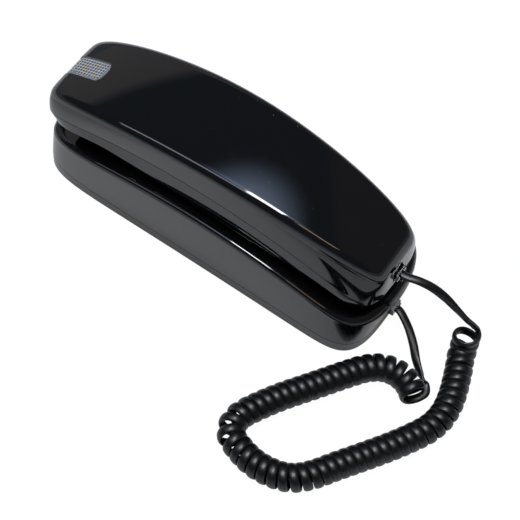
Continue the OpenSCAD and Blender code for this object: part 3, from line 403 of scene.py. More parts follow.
def moulded_gloss_abs():
    """Polished-mould ABS: a deep mirror-like black, with the faint swell of the moulding, hazy finger
    smudges, fine hairlines from handling and a few specks of dust."""
    made, tree, shader = material("black_gloss_moulded_abs", "#0a0a0b", roughness=0.05, ior=1.54)
    place = node(tree, "ShaderNodeTexCoord").outputs["Object"]
    swell = node(tree, "ShaderNodeTexNoise", {"Scale": 1 / (24 * MM), "Detail": 1.0}, Vector=place)
    stretch = node(tree, "ShaderNodeMapping", {"Scale": (1 / (40 * MM), 1 / (0.9 * MM), 1 / (0.9 * MM)),
                                               "Rotation": (0, 0, 0.9)}, Vector=place)
    lines = node(tree, "ShaderNodeTexNoise", {"Scale": 1.0, "Detail": 2.0}, Vector=stretch.outputs["Vector"])
    scratch = node(tree, "ShaderNodeMapRange", {"From Min": 0.66, "From Max": 0.72},
                   Value=lines.outputs["Fac"])
    low = node(tree, "ShaderNodeBump", {"Strength": 1.0, "Distance": 0.03 * MM}, Height=swell.outputs["Fac"])
    bump = node(tree, "ShaderNodeBump", {"Strength": 0.08, "Distance": 0.01 * MM},
                Height=scratch.outputs["Result"], Normal=low.outputs["Normal"])
    haze = node(tree, "ShaderNodeTexNoise", {"Scale": 1 / (16 * MM), "Detail": 7.0, "Roughness": 0.7,
                                             "Distortion": 0.6}, Vector=place)
    rough = node(tree, "ShaderNodeMapRange", {"From Min": 0.45, "From Max": 0.75, "To Min": 0.035,
                                              "To Max": 0.13}, Value=haze.outputs["Fac"])
    # Dust, drawn 0.3 mm across so that it shows
    dust = node(tree, "ShaderNodeTexVoronoi", {"Scale": 1 / (8 * MM)}, Vector=place)
    speck = node(tree, "ShaderNodeMapRange", {"From Min": 0.015, "From Max": 0.024, "To Min": 1.0,
                                              "To Max": 0.0}, Value=dust.outputs["Distance"])
    mix = node(tree, "ShaderNodeMix", {"data_type": "RGBA"}, Factor=speck.outputs["Result"])
    mix.inputs[6].default_value, mix.inputs[7].default_value = colour("#0a0a0b"), colour("#8d8c88")
    tree.links.new(mix.outputs[2], shader.inputs["Base Color"])
    tree.links.new(rough.outputs["Result"], shader.inputs["Roughness"])
    tree.links.new(bump.outputs["Normal"], shader.inputs["Normal"])
    return made


def moulded_satin_abs():
    """Spark-eroded ABS: a fine even grain that turns highlights soft."""
    return grained(*material("black_satin_moulded_abs", "#121214", ior=1.54), 0.35, 0.012, (0.32, 0.45))


def key_plastic():
    """Moulded keys: dark grey ABS, a little polished where fingers press."""
    return grained(*material("dark_grey_key_abs", "#26272a", ior=1.54), 0.5, 0.01, (0.25, 0.42),
                   ("#232427", "#2c2d31"))


def legend_ink():
    """Pad-printed numerals: matt white ink, thin over the key's grain."""
    return grained(*material("white_pad_print_ink", "#e4e4df", ior=1.48), 0.3, 0.01, (0.5, 0.65),
                   ("#dcdcd6", "#ecece8"))


def cord_pvc():
    """Soft PVC jacket: satin black, with a slightly waxy broad highlight."""
    return grained(*material("black_satin_cord_pvc", "#050505", ior=1.46), 2.5, 0.001, (0.34, 0.4))


def clear_polycarbonate():
    """Injection-moulded clear polycarbonate: bright edges, faint flow lines in the surface."""
    return grained(*material("clear_moulded_polycarbonate", "#f4f6f6", ior=1.58, Transmission_Weight=1.0),
                   3.0, 0.01, (0.03, 0.09))


def lens_polycarbonate():
    """The lamp's cover: clear polycarbonate, drawn part see-through instead of refracting, so that the
    light reaches the prisms under it."""
    return grained(*material("clear_lens_polycarbonate", "#dfe3e6", ior=1.58, Alpha=0.1), 3.0, 0.01,
                   (0.03, 0.09))


def tray_polycarbonate():
    """The milky rim that shows round the prisms: even pale grey, softly shiny."""
    return grained(*material("milky_tray_polycarbonate", "#6c7074", ior=1.58), 2.0, 0.006, (0.2, 0.34))


def prism_polycarbonate():
    """The lamp's diffuser: milky polycarbonate, with dark grey painted shade in the pits of its prisms and
    light on the ribs between them, and a warm tint where the lamp board shows through."""
    made, tree, shader = material("milky_prism_polycarbonate", "#c6cacd", roughness=0.28, ior=1.58)
    place = node(tree, "ShaderNodeTexCoord").outputs["Object"]
    grid = node(tree, "ShaderNodeVectorMath", {"operation": "SCALE", "Scale": 1 / (PRISM_PITCH * MM)},
                i0=place)
    cell = node(tree, "ShaderNodeVectorMath", {"operation": "FRACTION"}, i0=grid.outputs["Vector"])
    from_mid = node(tree, "ShaderNodeVectorMath", {"operation": "SUBTRACT"}, i0=cell.outputs["Vector"])
    from_mid.inputs[1].default_value = (0.5, 0.5, 0.5)
    flat = node(tree, "ShaderNodeVectorMath", {"operation": "MULTIPLY"}, i0=from_mid.outputs["Vector"])
    flat.inputs[1].default_value = (1, 1, 0)
    reach = node(tree, "ShaderNodeVectorMath", {"operation": "LENGTH"}, i0=flat.outputs["Vector"])
    # Painted shade: a dark grey fills each prism's pit, laid out on a grid at the prism pitch
    pit = node(tree, "ShaderNodeMapRange", {"From Min": 0.3, "From Max": 0.48}, Value=reach.outputs["Value"])
    patch = node(tree, "ShaderNodeTexNoise", {"Scale": 1 / (5 * MM), "Detail": 2.0}, Vector=place)
    warm = node(tree, "ShaderNodeMapRange", {"From Min": 0.56, "From Max": 0.7}, Value=patch.outputs["Fac"])
    ribs = node(tree, "ShaderNodeMix", {"data_type": "RGBA"}, Factor=warm.outputs["Result"])
    ribs.inputs[6].default_value, ribs.inputs[7].default_value = colour("#a6aaae"), colour("#b5a46e")
    mix = node(tree, "ShaderNodeMix", {"data_type": "RGBA"}, Factor=pit.outputs["Result"], i7=ribs.outputs[2])
    # The dark grey of the painted shade in the pits
    mix.inputs[6].default_value = colour("#18191c")
    tree.links.new(mix.outputs[2], shader.inputs["Base Color"])
    return made


def moulded_rubber():
    """Moulded rubber: matt, slightly dusty grey-black."""
    return grained(*material("black_moulded_rubber", "#1d1d1e", ior=1.52), 0.6, 0.02, (0.7, 0.9),
                   ("#191919", "#252524"))


def silicone_mat():
    """Compression-moulded silicone: soft grey with a powdery sheen."""
    return grained(*material("grey_moulded_silicone", "#5d6064", ior=1.41), 0.8, 0.01, (0.55, 0.7),
                   ("#585b5f", "#65686c"))


def zinc_plated_steel():
    """Zinc-plated steel: bright and bluish, with the faint cloud of the plating bath."""
    return grained(*material("zinc_plated_steel", "#a9adb2", metallic=1.0), 1.5, 0.004, (0.22, 0.38),
                   ("#9ea3a9", "#b5b9bd"))


def spun_aluminium():
    """Pressed aluminium can: pale and satin."""
    return grained(*material("pressed_aluminium", "#c3c5c8", metallic=1.0), 0.6, 0.004, (0.28, 0.4),
                   ("#bcbec1", "#cbcdcf"))


def brass_sheet():
    """Rolled brass: yellow, dulled by handling."""
    return grained(*material("rolled_brass_sheet", "#b8964f", metallic=1.0), 2.0, 0.004, (0.25, 0.42),
                   ("#a98845", "#c4a45c"))


def solder_mask():
    """Glass-epoxy board under green solder mask: semi-gloss with the weave just showing."""
    return grained(*material("green_solder_mask", "#1f5138", ior=1.5), 0.9, 0.01, (0.25, 0.4),
                   ("#1c4a33", "#255c40"))


# ------------------------------------------------------------------------------------------
# The cord: a flat lead from the handset, the coil, and a flat lead back to the base

LEAD_W, LEAD_T = 4.8, 2.4
TURN_W = 5.2            # drawn wider than the lead, so that the turns close up
COIL_R = 7.7 - LEAD_T / 2
COIL_LIFT = 0.6         # the turns are fatter than the CAD's, and stay off the table
AXIS_STEP = 0.25
BEND_REACH = 40         # steps of the axis over which a bend's effect is spread, each way
BEND_SPREAD = 0.5       # how much of a bend's outer side the turns open up
FIRST_TURN = 60         # degrees
TURN_POINTS = 30
SECTION_POINTS, SECTION_POWER = 14, 2.2
PITCH = 4.82            # gives the coil its 58 turns
HANDSET_EXIT = (112.37, -1, 48.5)
HANDSET_ROUTE = [(115.5, -0.8, 48.5), (122, 1, 48), (129, 3, 45.5), (137, 4.5, 40.5), (145, 5, 34.5),
                 (151.5, 6, 28.5), (155.3, 8, 23)]
BASE_EXIT = (114.48, -2, 13)
BASE_ROUTE = [(150.8, -34, 1.3), (151.8, -30.5, 1.4), (149.5, -27, 1.6), (144.5, -23.5, 2.4),
              (138.5, -18.8, 4.4), (132.5, -12.8, 7.3), (126, -7.5, 10), (120, -4, 12.2), (117, -2.6, 12.9)]
COIL_ROUTE = [(154.5, 3.5, 19), (155, 2.5, 14), (156, 0, 9.5), (157.5, -5, 7.2), (160, -11, 7.2),
              (162.5, -18, 7.2), (165, -26, 7.2), (166.5, -34, 7.2), (166.5, -42, 7.2), (164.5, -50, 7.2),
              (160.5, -58, 7.2), (154, -69, 7.2), (146, -81, 7.2), (137, -94, 7.2), (128, -107, 7.2),
              (121, -113.5, 7.2), (112, -117, 7.2), (101, -118, 7.2), (90.5, -116, 7.2), (82.5, -112.5, 7.2),
              (79.5, -107, 7.2), (80, -100.5, 7.2), (84, -92, 7.2), (91, -80, 7.2), (102, -64, 7.2),
              (113, -48, 7.2), (119.5, -39.5, 7.2), (127, -34, 7.2), (135.5, -32.5, 7.2), (143, -34.5, 7.2),
              (148, -38, 7.2)]


def unit(v):
    return v / np.linalg.norm(v, axis=-1, keepdims=True)


def curve(points, step=0.5):
    """A smooth curve through points, at even steps in mm."""
    p = np.array(points, float)
    p = np.concatenate([[2 * p[0] - p[1]], p, [2 * p[-1] - p[-2]]])
    fine = []
    for a, b, c, d in zip(p, p[1:], p[2:], p[3:]):
        k = [0]
        for u, v in ((a, b), (b, c), (c, d)):
            k.append(k[-1] + math.sqrt(np.linalg.norm(v - u)))
        for t in np.linspace(k[1], k[2], 24, endpoint=False):
            mix = lambda u, v, i, j: ((k[j] - t) * u + (t - k[i]) * v) / (k[j] - k[i])
            ab, bc, cd = mix(a, b, 0, 1), mix(b, c, 1, 2), mix(c, d, 2, 3)
            fine.append(mix(mix(ab, bc, 0, 2), mix(bc, cd, 1, 3), 1, 2))
    fine.append(p[-2])
    line = np.array(fine)
    way = np.concatenate([[0], np.cumsum(np.linalg.norm(np.diff(line, axis=0), axis=1))])
    at = np.linspace(0, way[-1], max(2, round(way[-1] / step)) + 1)
    return np.stack([np.interp(at, way, line[:, i]) for i in range(3)], 1)


def square_to(side, tangent):
    return unit(side - tangent * (side * tangent).sum(-1, keepdims=True))


def helix():
    """The coil's centreline round its own axis, and the axis' direction at each of its points."""
    axis = curve(COIL_ROUTE, AXIS_STEP) + (0, 0, COIL_LIFT)
    along = unit(np.gradient(axis, axis=0))
    side = [np.array([1.0, 0, 0])]
    for t in along[1:]:
        side.append(square_to(side[-1], t))
    side = np.array(side)
    across = np.cross(along, side)
    # The turns stand further apart on a bend, where they touch on its inner side
    bend = np.linalg.norm(np.gradient(along, axis=0), axis=1) / AXIS_STEP
    window = 2 * BEND_REACH + 1
    bend = np.convolve(np.pad(bend, BEND_REACH, mode="edge"), np.ones(window) / window, "valid")
    density = 1 / (PITCH * (1 + BEND_SPREAD * COIL_R * bend))
    turns = np.concatenate([[0], np.cumsum(density[:-1] * AXIS_STEP)])
    # The last turn ends at the bottom
    start = math.radians(FIRST_TURN)
    end = math.atan2(across[-1][2], -side[-1][2])
    whole = round(turns[-1] - (start - end) / (2 * math.pi)) + (start - end) / (2 * math.pi)
    turns *= whole / turns[-1]
    steps = np.linspace(0, whole, round(whole * TURN_POINTS) + 1)
    pick = lambda v: np.stack([np.interp(steps, turns, v[:, i]) for i in range(3)], 1)
    angle = (start - 2 * math.pi * steps)[:, None]
    line = pick(axis) + COIL_R * (unit(pick(side)) * np.cos(angle) - unit(pick(across)) * np.sin(angle))
    return line, unit(pick(along)), whole


def cord_line():
    """The whole centreline with the direction of the cord's flat side, from plug to plug."""
    coil, along, turns = helix()
    first = curve([HANDSET_EXIT, *HANDSET_ROUTE, coil[0], coil[3], coil[6]])
    last = curve([coil[-7], coil[-4], coil[-1], *BASE_ROUTE, BASE_EXIT])
    keep_first = np.argmin(np.linalg.norm(first - coil[0], axis=1))
    keep_last = np.argmin(np.linalg.norm(last - coil[-1], axis=1))
    line = np.concatenate([first[:keep_first], coil, last[keep_last + 1:]])
    tangent = unit(np.gradient(line, axis=0))
    flat = np.zeros_like(line)
    flat[keep_first:keep_first + len(coil)] = along
    plug_side = np.array([0, 1.0, 0])
    n = keep_first
    t = np.linspace(0, 1, n)[:, None]
    t = t * t * (3 - 2 * t)
    coil_side = along[0] * [1, 1, -1]
    flat[:n] = unit(square_to(plug_side, tangent[:n]) * (1 - t) + square_to(coil_side, tangent[:n]) * t)
    m = len(line) - n - len(coil)
    t = np.linspace(0, 1, m)[:, None]
    t = t * t * (3 - 2 * t)
    flat[-m:] = unit(square_to(along[-1], tangent[-m:]) * (1 - t) + square_to(plug_side, tangent[-m:]) * t)
    width = np.full(len(line), LEAD_W)
    width[keep_first:keep_first + len(coil)] = TURN_W
    width = np.convolve(np.pad(width, 12, mode="edge"), np.ones(25) / 25, "valid")
    return line, tangent, square_to(flat, tangent), width, turns


def cord():
    line, tangent, flat, width, turns = cord_line()
    edge = np.cross(tangent, flat)
    a = np.linspace(0, 2 * math.pi, SECTION_POINTS, endpoint=False)
    round_off = lambda v: np.sign(v) * np.abs(v) ** (2 / SECTION_POWER)
    w, t = width[:, None] / 2 * round_off(np.cos(a)), LEAD_T / 2 * round_off(np.sin(a))
    points = (line[:, None] + flat[:, None] * w[:, :, None] + edge[:, None] * t[None, :, None]).reshape(-1, 3)
    n = len(a)
    faces = [(r * n + i, r * n + (i + 1) % n, (r + 1) * n + (i + 1) % n, (r + 1) * n + i)
             for r in range(len(line) - 1) for i in range(n)]
    faces += [tuple(range(n))[::-1], tuple((len(line) - 1) * n + i for i in range(n))]
    obj = mesh_object("coiled_cord", points, faces, shift=0)
    shade(obj, 60)
    dress(obj, CORD)
    long = np.linalg.norm(np.diff(line, axis=0), axis=1).sum() * MM
    print("cord", round(long, 3), "m,", round(turns, 2), "turns")
    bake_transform(obj)
    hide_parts("cord_lead_handset", "cord_coil", "cord_lead_base")
    return obj


# ------------------------------------------------------------------------------------------
# Cutting tools

def tool_boxes(boxes):
    """One mesh of separate boxes, each given by its lowest and highest corners."""
    points, faces = [], []
    for low, high in boxes:
        n = len(points)
        points += [(x, y, z) for z in (low[2], high[2]) for y in (low[1], high[1]) for x in (low[0], high[0])]
        faces += [tuple(n + i for i in face) for face in
                  ((0, 2, 3, 1), (4, 5, 7, 6), (0, 1, 5, 4), (2, 6, 7, 3), (0, 4, 6, 2), (1, 3, 7, 5))]
    return mesh_object("tool", points, faces)


def tool_drums(drums, segments=40):
    """One mesh of separate upright drums: x, y, radius, low and high."""
    points, faces = [], []
    for x, y, radius, low, high in drums:
        n = len(points)
        for z in (low, high):
            points += [(x + radius * math.cos(a), y + radius * math.sin(a), z)
                       for a in np.linspace(0, 2 * math.pi, segments, endpoint=False)]
        faces.append(tuple(n + i for i in range(segments))[::-1])
        faces.append(tuple(n + segments + i for i in range(segments)))
        faces += [(n + i, n + (i + 1) % segments, n + segments + (i + 1) % segments, n + segments + i)
                  for i in range(segments)]
    return mesh_object("tool", points, faces)


def turned(tool, origin, tilt):
    """Tilts a tool about Y and moves it to an origin, both in the base's own mm."""
    place = Matrix.Translation(Vector(((origin[0] + BASE_X) * MM, origin[1] * MM, origin[2] * MM)))
    back = Matrix.Translation(Vector((-BASE_X * MM, 0, 0)))
    tool.data.transform(place @ Matrix.Rotation(tilt, 4, "Y") @ back)
    return tool


def cut(obj, tools, operation="DIFFERENCE"):
    """Applies each tool to obj in turn, and deletes it."""
    for tool in tools:
        step = obj.modifiers.new("cut", "BOOLEAN")
        step.operation, step.object, step.solver = operation, tool, "EXACT"
        graph = bpy.context.evaluated_depsgraph_get()
        mesh = bpy.data.meshes.new_from_object(obj.evaluated_get(graph))
        obj.modifiers.clear()
        obj.data = mesh
        bpy.data.objects.remove(tool)


# ------------------------------------------------------------------------------------------
# What the shells are cut for, in mm: the CAD's places of jacks, switches, keys, screws and cups

EAR_X, EAR_R, EAR_CUP_H = -HALF - 4.8 + 32, 21, 20
MOUTH_X, MOUTH_R, MOUTH_CUP_H = HALF - 2.4 - 27, 19, 15.5
PLUG_W, PLUG_H, LATCH_H = 7.65, 6.6, 1.9
HANDSET_JACK = (-1, 48.5)
BASE_JACK = (-2, 13)
LINE_JACK, LINE_PLUG_W = (8, 13.5), 9.65
HOOK_X, HOOK_L, HOOK_W = EAR_X + EAR_R + 12.8, 12, 8
TAB_X, TAB_T, TAB_W = HOOK_X - HOOK_L / 2 - 1.5 - 0.5 - 1.7 - 1.1, 2.2, 12
RINGER_X, RINGER_R = MOUTH_X - MOUTH_R - 20.6, 13.5
SLOT_PITCH, SLOT_W = 3, 1.4
SWITCH_Z, SWITCH_L, SWITCH_H, SWITCH_TRAVEL = 17, 6, 4, 3
BASE_SCREWS = [(x, s * 22) for x in (-HALF + 35, HALF - 35) for s in (-1, 1)]
CASE_SCREWS = [(x, s * 20) for x in (EAR_X + EAR_R + 8.8, MOUTH_X - MOUTH_R - 9.6) for s in (-1, 1)]
HEAD_R, PILOT_R = 3.0, 1.5
KEYHOLES = (-HALF + 25, -HALF + 125)
FOOT_R, FOOT_MIDDLE, FOOT_SPAN, FOOT_Y = 6.05, -1.05, 86.95, 22.3
KEYPAD_X, KEY_PITCH, KEY_GAP = 2, 12.5, 14
KEY_L, KEY_W, KEY_CLEAR, KEY_PROUD = 8, 10.5, 0.3, 1.3
KEY_U = [(i - 1.76) * KEY_PITCH for i in range(5)]
KEY_V = [KEY_GAP, 0, -KEY_GAP]
EXTRA_V = [KEY_GAP / 2 + 1.5, -KEY_GAP / 2 - 1.5]
VOLUME_U, VOLUME_L, VOLUME_W, VOLUME_TRAVEL = -36, 6, 3.8, 4
KEYPAD = (KEYPAD_X, 0, face_plane(KEYPAD_X))


def jack_opening(x, centre, width, below, above):
    y, z = centre
    return (x - 12, y - width / 2 - 0.6, z - below - 0.5), (x + 12, y + width / 2 + 0.6, z + above + 0.7)


def cut_base_upper(shell):
    tray = arch(TRAY_ARCH, HOOK_X)
    boxes = [((HOOK_X - HOOK_L / 2 - 0.3, -HOOK_W / 2 - 0.3, tray - 12), (HOOK_X + HOOK_L / 2 + 0.3,
              HOOK_W / 2 + 0.3, tray + 12)),
             ((TAB_X - TAB_T / 2 - 0.15, -TAB_W / 2 - 0.15, tray - 12), (TAB_X + TAB_T / 2 + 0.15,
              TAB_W / 2 + 0.15, tray + 12)),
             jack_opening(HALF, BASE_JACK, PLUG_W, PLUG_H / 2, PLUG_H / 2 + LATCH_H),
             jack_opening(-HALF, LINE_JACK, LINE_PLUG_W, PLUG_H / 2, PLUG_H / 2 + LATCH_H),
             ((RINGER_X - SWITCH_L / 2 - SWITCH_TRAVEL - 0.5, 30, SWITCH_Z - SWITCH_H / 2 - 0.3),
              (RINGER_X + SWITCH_L / 2 + SWITCH_TRAVEL + 0.5, 46, SWITCH_Z + SWITCH_H / 2 + 0.3))]
    cut(shell, [tool_boxes(boxes)])


def cut_base_bottom(shell):
    """Screw recesses, keyholes for wall studs, the ringer's slots and the rubber feet's seats."""
    low, floor_top = -2, FOOT_PROUD + WALL + 3
    drums = [(x, y, HEAD_R, low, 2.9) for x, y in BASE_SCREWS]
    drums += [(FOOT_MIDDLE + i * FOOT_SPAN, j * FOOT_Y, FOOT_R, low, 1.8) for i in (-1, 1) for j in (-1, 1)]
    slots = []
    for i in range(-3, 4):
        x, reach = RINGER_X + SLOT_PITCH * i, math.sqrt((RINGER_R - 2) ** 2 - (SLOT_PITCH * i) ** 2)
        slots.append(((x - SLOT_W / 2, -reach, low), (x + SLOT_W / 2, reach, floor_top)))
    cut(shell, [tool_drums(drums), tool_drums([(x, y, PILOT_R, 0, floor_top) for x, y in BASE_SCREWS]),
                tool_drums([(x, 0, 4.6, low, floor_top) for x in KEYHOLES]),
                tool_boxes([((x, -2.2, low), (x + 8, 2.2, floor_top)) for x in KEYHOLES]),
                tool_drums([(x + 8, 0, 2.19, low, floor_top) for x in KEYHOLES]),
                tool_boxes(slots)])


def cut_handset_back(shell):
    cut(shell, [lens_tool(0),
                tool_boxes([jack_opening(HALF, HANDSET_JACK, PLUG_W, PLUG_H / 2 + LATCH_H, PLUG_H / 2 + 1)])])


def cut_handset_front(shell):
    """Windows for the keys and the volume slide, the catch's hole and the deep screw holes."""
    window = lambda u, v, l: ((u - l / 2 - KEY_CLEAR, v - KEY_W / 2 - KEY_CLEAR, -6),
                              (u + l / 2 + KEY_CLEAR, v + KEY_W / 2 + KEY_CLEAR, 6))
    boxes = [window(u, v, KEY_L) for u in KEY_U[:4] for v in KEY_V]
    boxes += [window(KEY_U[4], v, KEY_L - 2) for v in EXTRA_V]
    boxes.append(((VOLUME_U - VOLUME_W / 2 - 0.3, -VOLUME_L / 2 - VOLUME_TRAVEL - 0.3, -6),
                  (VOLUME_U + VOLUME_W / 2 + 0.3, VOLUME_L / 2 + VOLUME_TRAVEL + 0.3, 6)))
    hole = TAB_X - KEYPAD_X
    boxes.append(((hole - TAB_T / 2 - 0.45, -TAB_W / 2 - 1, -6), (hole + TAB_T / 2 + 0.45, TAB_W / 2 + 1, 6)))
    cut(shell, [turned(tool_boxes(boxes), KEYPAD, FACE_TILT),
                tool_drums([(x, y, HEAD_R, 30, 58) for x, y in CASE_SCREWS])])


def cup(name, x, radius, height, holes):
    """One of the handset's cups: a hollow turned form with a rounded mouth and sound holes in its floor,
    standing square to the tray under it."""
    edge, draft, wall, floor = 2.5, 1.2, 2.2, 2.0
    profile = [(0.01, 0)]
    profile += [(radius - draft - edge * (1 - math.sin(a)), edge * (1 - math.cos(a)))
                for a in np.radians(np.arange(0, 91, 9))]
    profile += [(radius, edge + 6), (radius, height), (radius - wall, height), (radius - wall, edge + 6),
                (radius - draft - wall, floor), (0.01, floor)]
    origin = (x, 0, arch(TRAY_ARCH, x) + 0.4)
    tilt = arch_tilt(TRAY_ARCH, x)
    piece = revolve(name, profile, origin, tilt)
    cut(piece, [turned(tool_drums([(u, v, r, -2, 5) for u, v, r in holes], 20), origin, tilt)])
    shade(piece, 40)
    dress(piece, GLOSS)
    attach(piece, "handset")


# ------------------------------------------------------------------------------------------
# The ring lamp's cover and its prisms

LENS_X, LENS_HALF_W, LENS_LOW = EAR_X, 7.2, 53.5
PRISM_PITCH = 1.9        # drawn coarser than the real 1.2 mm, so that it shows


def lens_tool(grow):
    """The space that the lens fills: a round-cornered tongue from the ear end, with a bowed inner edge."""
    bow, corner = 1.6, 1.6
    half_w, tip = LENS_HALF_W + grow, LENS_X + grow
    end = -HALF - 15
    edge = [(end, -half_w), (tip - bow - corner, -half_w)]
    edge += [(tip - bow - corner + corner * math.sin(a), -half_w + corner * (1 - math.cos(a)))
             for a in np.radians((30, 60, 80))]
    edge += [(tip - bow * (y / half_w) ** 2, y) for y in np.linspace(-half_w + corner, half_w - corner, 13)]
    edge += [(x, -y) for x, y in edge[4::-1]]
    n = len(edge)
    points = [(x, y, z) for z in (LENS_LOW, 100) for x, y in edge]
    faces = [tuple(range(n))[::-1], tuple(range(n, 2 * n))]
    faces += [(i, (i + 1) % n, n + (i + 1) % n, n + i) for i in range(n)]
    return mesh_object("tool", points, faces)


def ring_lamp_lens():
    lens = handset_back_shell()
    cut(lens, [lens_tool(-0.05)], "INTERSECT")
    lens.name = "ring_lamp_cover"
    shade(lens, 40)
    dress(lens, LENS)
    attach(lens, "handset")
    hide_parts("ring_lamp_lens")


def ring_lamp_tray():
    """The milky tray that fills the window under the cover, and carries the prisms."""
    tray = handset_back_shell()
    tray.data.transform(Matrix.Translation(Vector((0, 0, -0.9 * MM))))
    cut(tray, [lens_tool(-0.5)], "INTERSECT")
    tray.name = "ring_lamp_tray"
    shade(tray, 40)
    dress(tray, TRAY)
    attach(tray, "handset")


def ring_lamp_prisms():
    """A plate of small sunk pyramids under the clear cover, which spreads the lamp's light."""
    thick, deep, under = 1.0, 0.5, 0.35
    across, along = 6, 11
    x1 = LENS_X - 2.0
    points, faces = [], []
    # The plate follows the rolled edge down at the ear end
    roll_from, roll, fall = BACK[0] + BACK_ROLL[0], BACK_ROLL[0], edge_h(BACK[0])
    past = lambda x: np.clip((roll_from - x) / roll, 0, 0.97)
    top = lambda x, y: back_z(x, y) - under - fall * (1 - math.sqrt(1 - past(x) ** 2))
    xs = x1 - PRISM_PITCH * np.arange(along + 1)
    ys = PRISM_PITCH * (np.arange(across + 1) - across / 2)
    index = {}
    for i, x in enumerate(xs):
        for j, y in enumerate(ys):
            index[i, j] = len(points)
            points.append((x, y, top(x, y)))
    for i in range(along):
        for j in range(across):
            pit = len(points)
            x, y = (xs[i] + xs[i + 1]) / 2, (ys[j] + ys[j + 1]) / 2
            points.append((x, y, top(x, y) - deep))
            a, b, c, d = index[i, j], index[i, j + 1], index[i + 1, j + 1], index[i + 1, j]
            faces += [(a, b, pit), (b, c, pit), (c, d, pit), (d, a, pit)]
    rim = [(i, 0) for i in range(along)] + [(along, j) for j in range(across)]
    rim += [(i, across) for i in range(along, 0, -1)] + [(0, j) for j in range(across, 0, -1)]
    upper = [index[k] for k in rim]
    lower = []
    for k in upper:
        lower.append(len(points))
        x, y, z = points[k]
        points.append((x, y, z - thick))
    n = len(rim)
    faces += [(upper[i], lower[i], lower[(i + 1) % n], upper[(i + 1) % n]) for i in range(n)]
    faces.append(tuple(lower[::-1]))
    plate = mesh_object("ring_lamp_prisms", points, faces)
    dress(plate, PRISM)
    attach(plate, "handset")


# ------------------------------------------------------------------------------------------
# Assembly

GLOSS = moulded_gloss_abs()
SATIN = moulded_satin_abs()
KEY = key_plastic()
INK = legend_ink()
CORD = cord_pvc()
CLEAR = clear_polycarbonate()
LENS = lens_polycarbonate()
TRAY = tray_polycarbonate()
PRISM = prism_polycarbonate()
RUBBER = moulded_rubber()
SILICONE = silicone_mat()
STEEL = zinc_plated_steel()
ALUMINIUM = spun_aluminium()
BRASS = brass_sheet()
BOARD = solder_mask()

cord()
SHELLS = [(base_upper_shell, cut_base_upper, "base"),
          (base_bottom_cover, cut_base_bottom, "base"),
          (handset_back_shell, cut_handset_back, "handset"),
          (handset_front_shell, cut_handset_front, "handset")]
for make, open_up, body in SHELLS:
    shell = make()
    open_up(shell)
    shade(shell)
    dress(shell, GLOSS)
    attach(shell, body)
    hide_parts(make.__name__)
ring_lamp_lens()
ring_lamp_tray()
ring_lamp_prisms()
cup("ear_cup", EAR_X, EAR_R, EAR_CUP_H,
    [(0, 0, 1)] + [(5 * math.cos(a), 5 * math.sin(a), 1) for a in np.radians(range(0, 360, 60))])
cup("mouth_cup", MOUTH_X, MOUTH_R, MOUTH_CUP_H, [(-4, 0, 0.9), (0, 0, 0.9), (4, 0, 0.9)])


def legend(key, sign, u, v, size):
    """A printed numeral that lies on a key's dished face, read with the ear end up."""
    text = bpy.data.curves.new("legend_" + key, "FONT")
    text.body, text.size, text.extrude = sign, size, 0.03
    text.align_x, text.align_y = "CENTER", "CENTER"
    flat = bpy.data.objects.new("legend_" + key, text)
    bpy.context.scene.collection.objects.link(flat)
    mesh = bpy.data.meshes.new_from_object(flat.evaluated_get(bpy.context.evaluated_depsgraph_get()))
    bpy.data.objects.remove(flat)
    dish_r, dish = 30, 0.35
    for vertex in mesh.vertices:
        x, y, z = vertex.co
        face = -KEY_PROUD + dish - (x * x + y * y) / (2 * dish_r)
        vertex.co = ((u - y) * MM, (v - x) * MM, (face - 0.02 - z) * MM)
    mesh.transform(Matrix.Translation(Vector(((KEYPAD[0] + BASE_X) * MM, 0, KEYPAD[2] * MM)))
                   @ Matrix.Rotation(FACE_TILT, 4, "Y"))
    obj = bpy.data.objects.new("legend_" + key, mesh)
    bpy.context.scene.collection.objects.link(obj)
    dress(obj, INK)
    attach(obj, key + "_body")


SIGNS = ["1", "2", "3", "4", "5", "6", "7", "8", "9", "*", "0", "#"]
KEY_NAMES = ["key_" + {"*": "star", "#": "hash"}.get(sign, sign) for sign in SIGNS]
for k, (key, sign) in enumerate(zip(KEY_NAMES, SIGNS)):
    legend(key, sign, KEY_U[k // 3], KEY_V[k % 3], 5.5)
for key, word, v in (("key_redial", "R", EXTRA_V[0]), ("key_flash", "F", EXTRA_V[1])):
    legend(key, word, KEY_U[4], v, 4)

FINISHES = {
    "rubber_feet": RUBBER, "handset_hook_tab": GLOSS, "hook_plunger": SATIN, "hook_spring": STEEL,
    "hook_switch": SATIN, "base_circuit_board": BOARD, "ringer_disc": BRASS, "ringer_switch": SATIN,
    "base_jack": SATIN, "line_jack": SATIN, "base_weight": STEEL, "base_screws": STEEL,
    "ring_lamp_led": BOARD, "receiver_capsule": SATIN, "receiver_gasket": RUBBER,
    "microphone_capsule": ALUMINIUM, "microphone_boot": RUBBER, "keypad_mat": SILICONE,
    "handset_circuit_board": BOARD, "handset_jack": SATIN, "handset_weight": STEEL,
    "handset_screws": STEEL, "volume_slider": KEY, "plug_handset": CLEAR, "plug_base": CLEAR}
for name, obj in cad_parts.items():
    dress(obj, KEY if name.startswith("key_") else FINISHES.get(name, GLOSS))


# ------------------------------------------------------------------------------------------
# Floor, backdrop and light

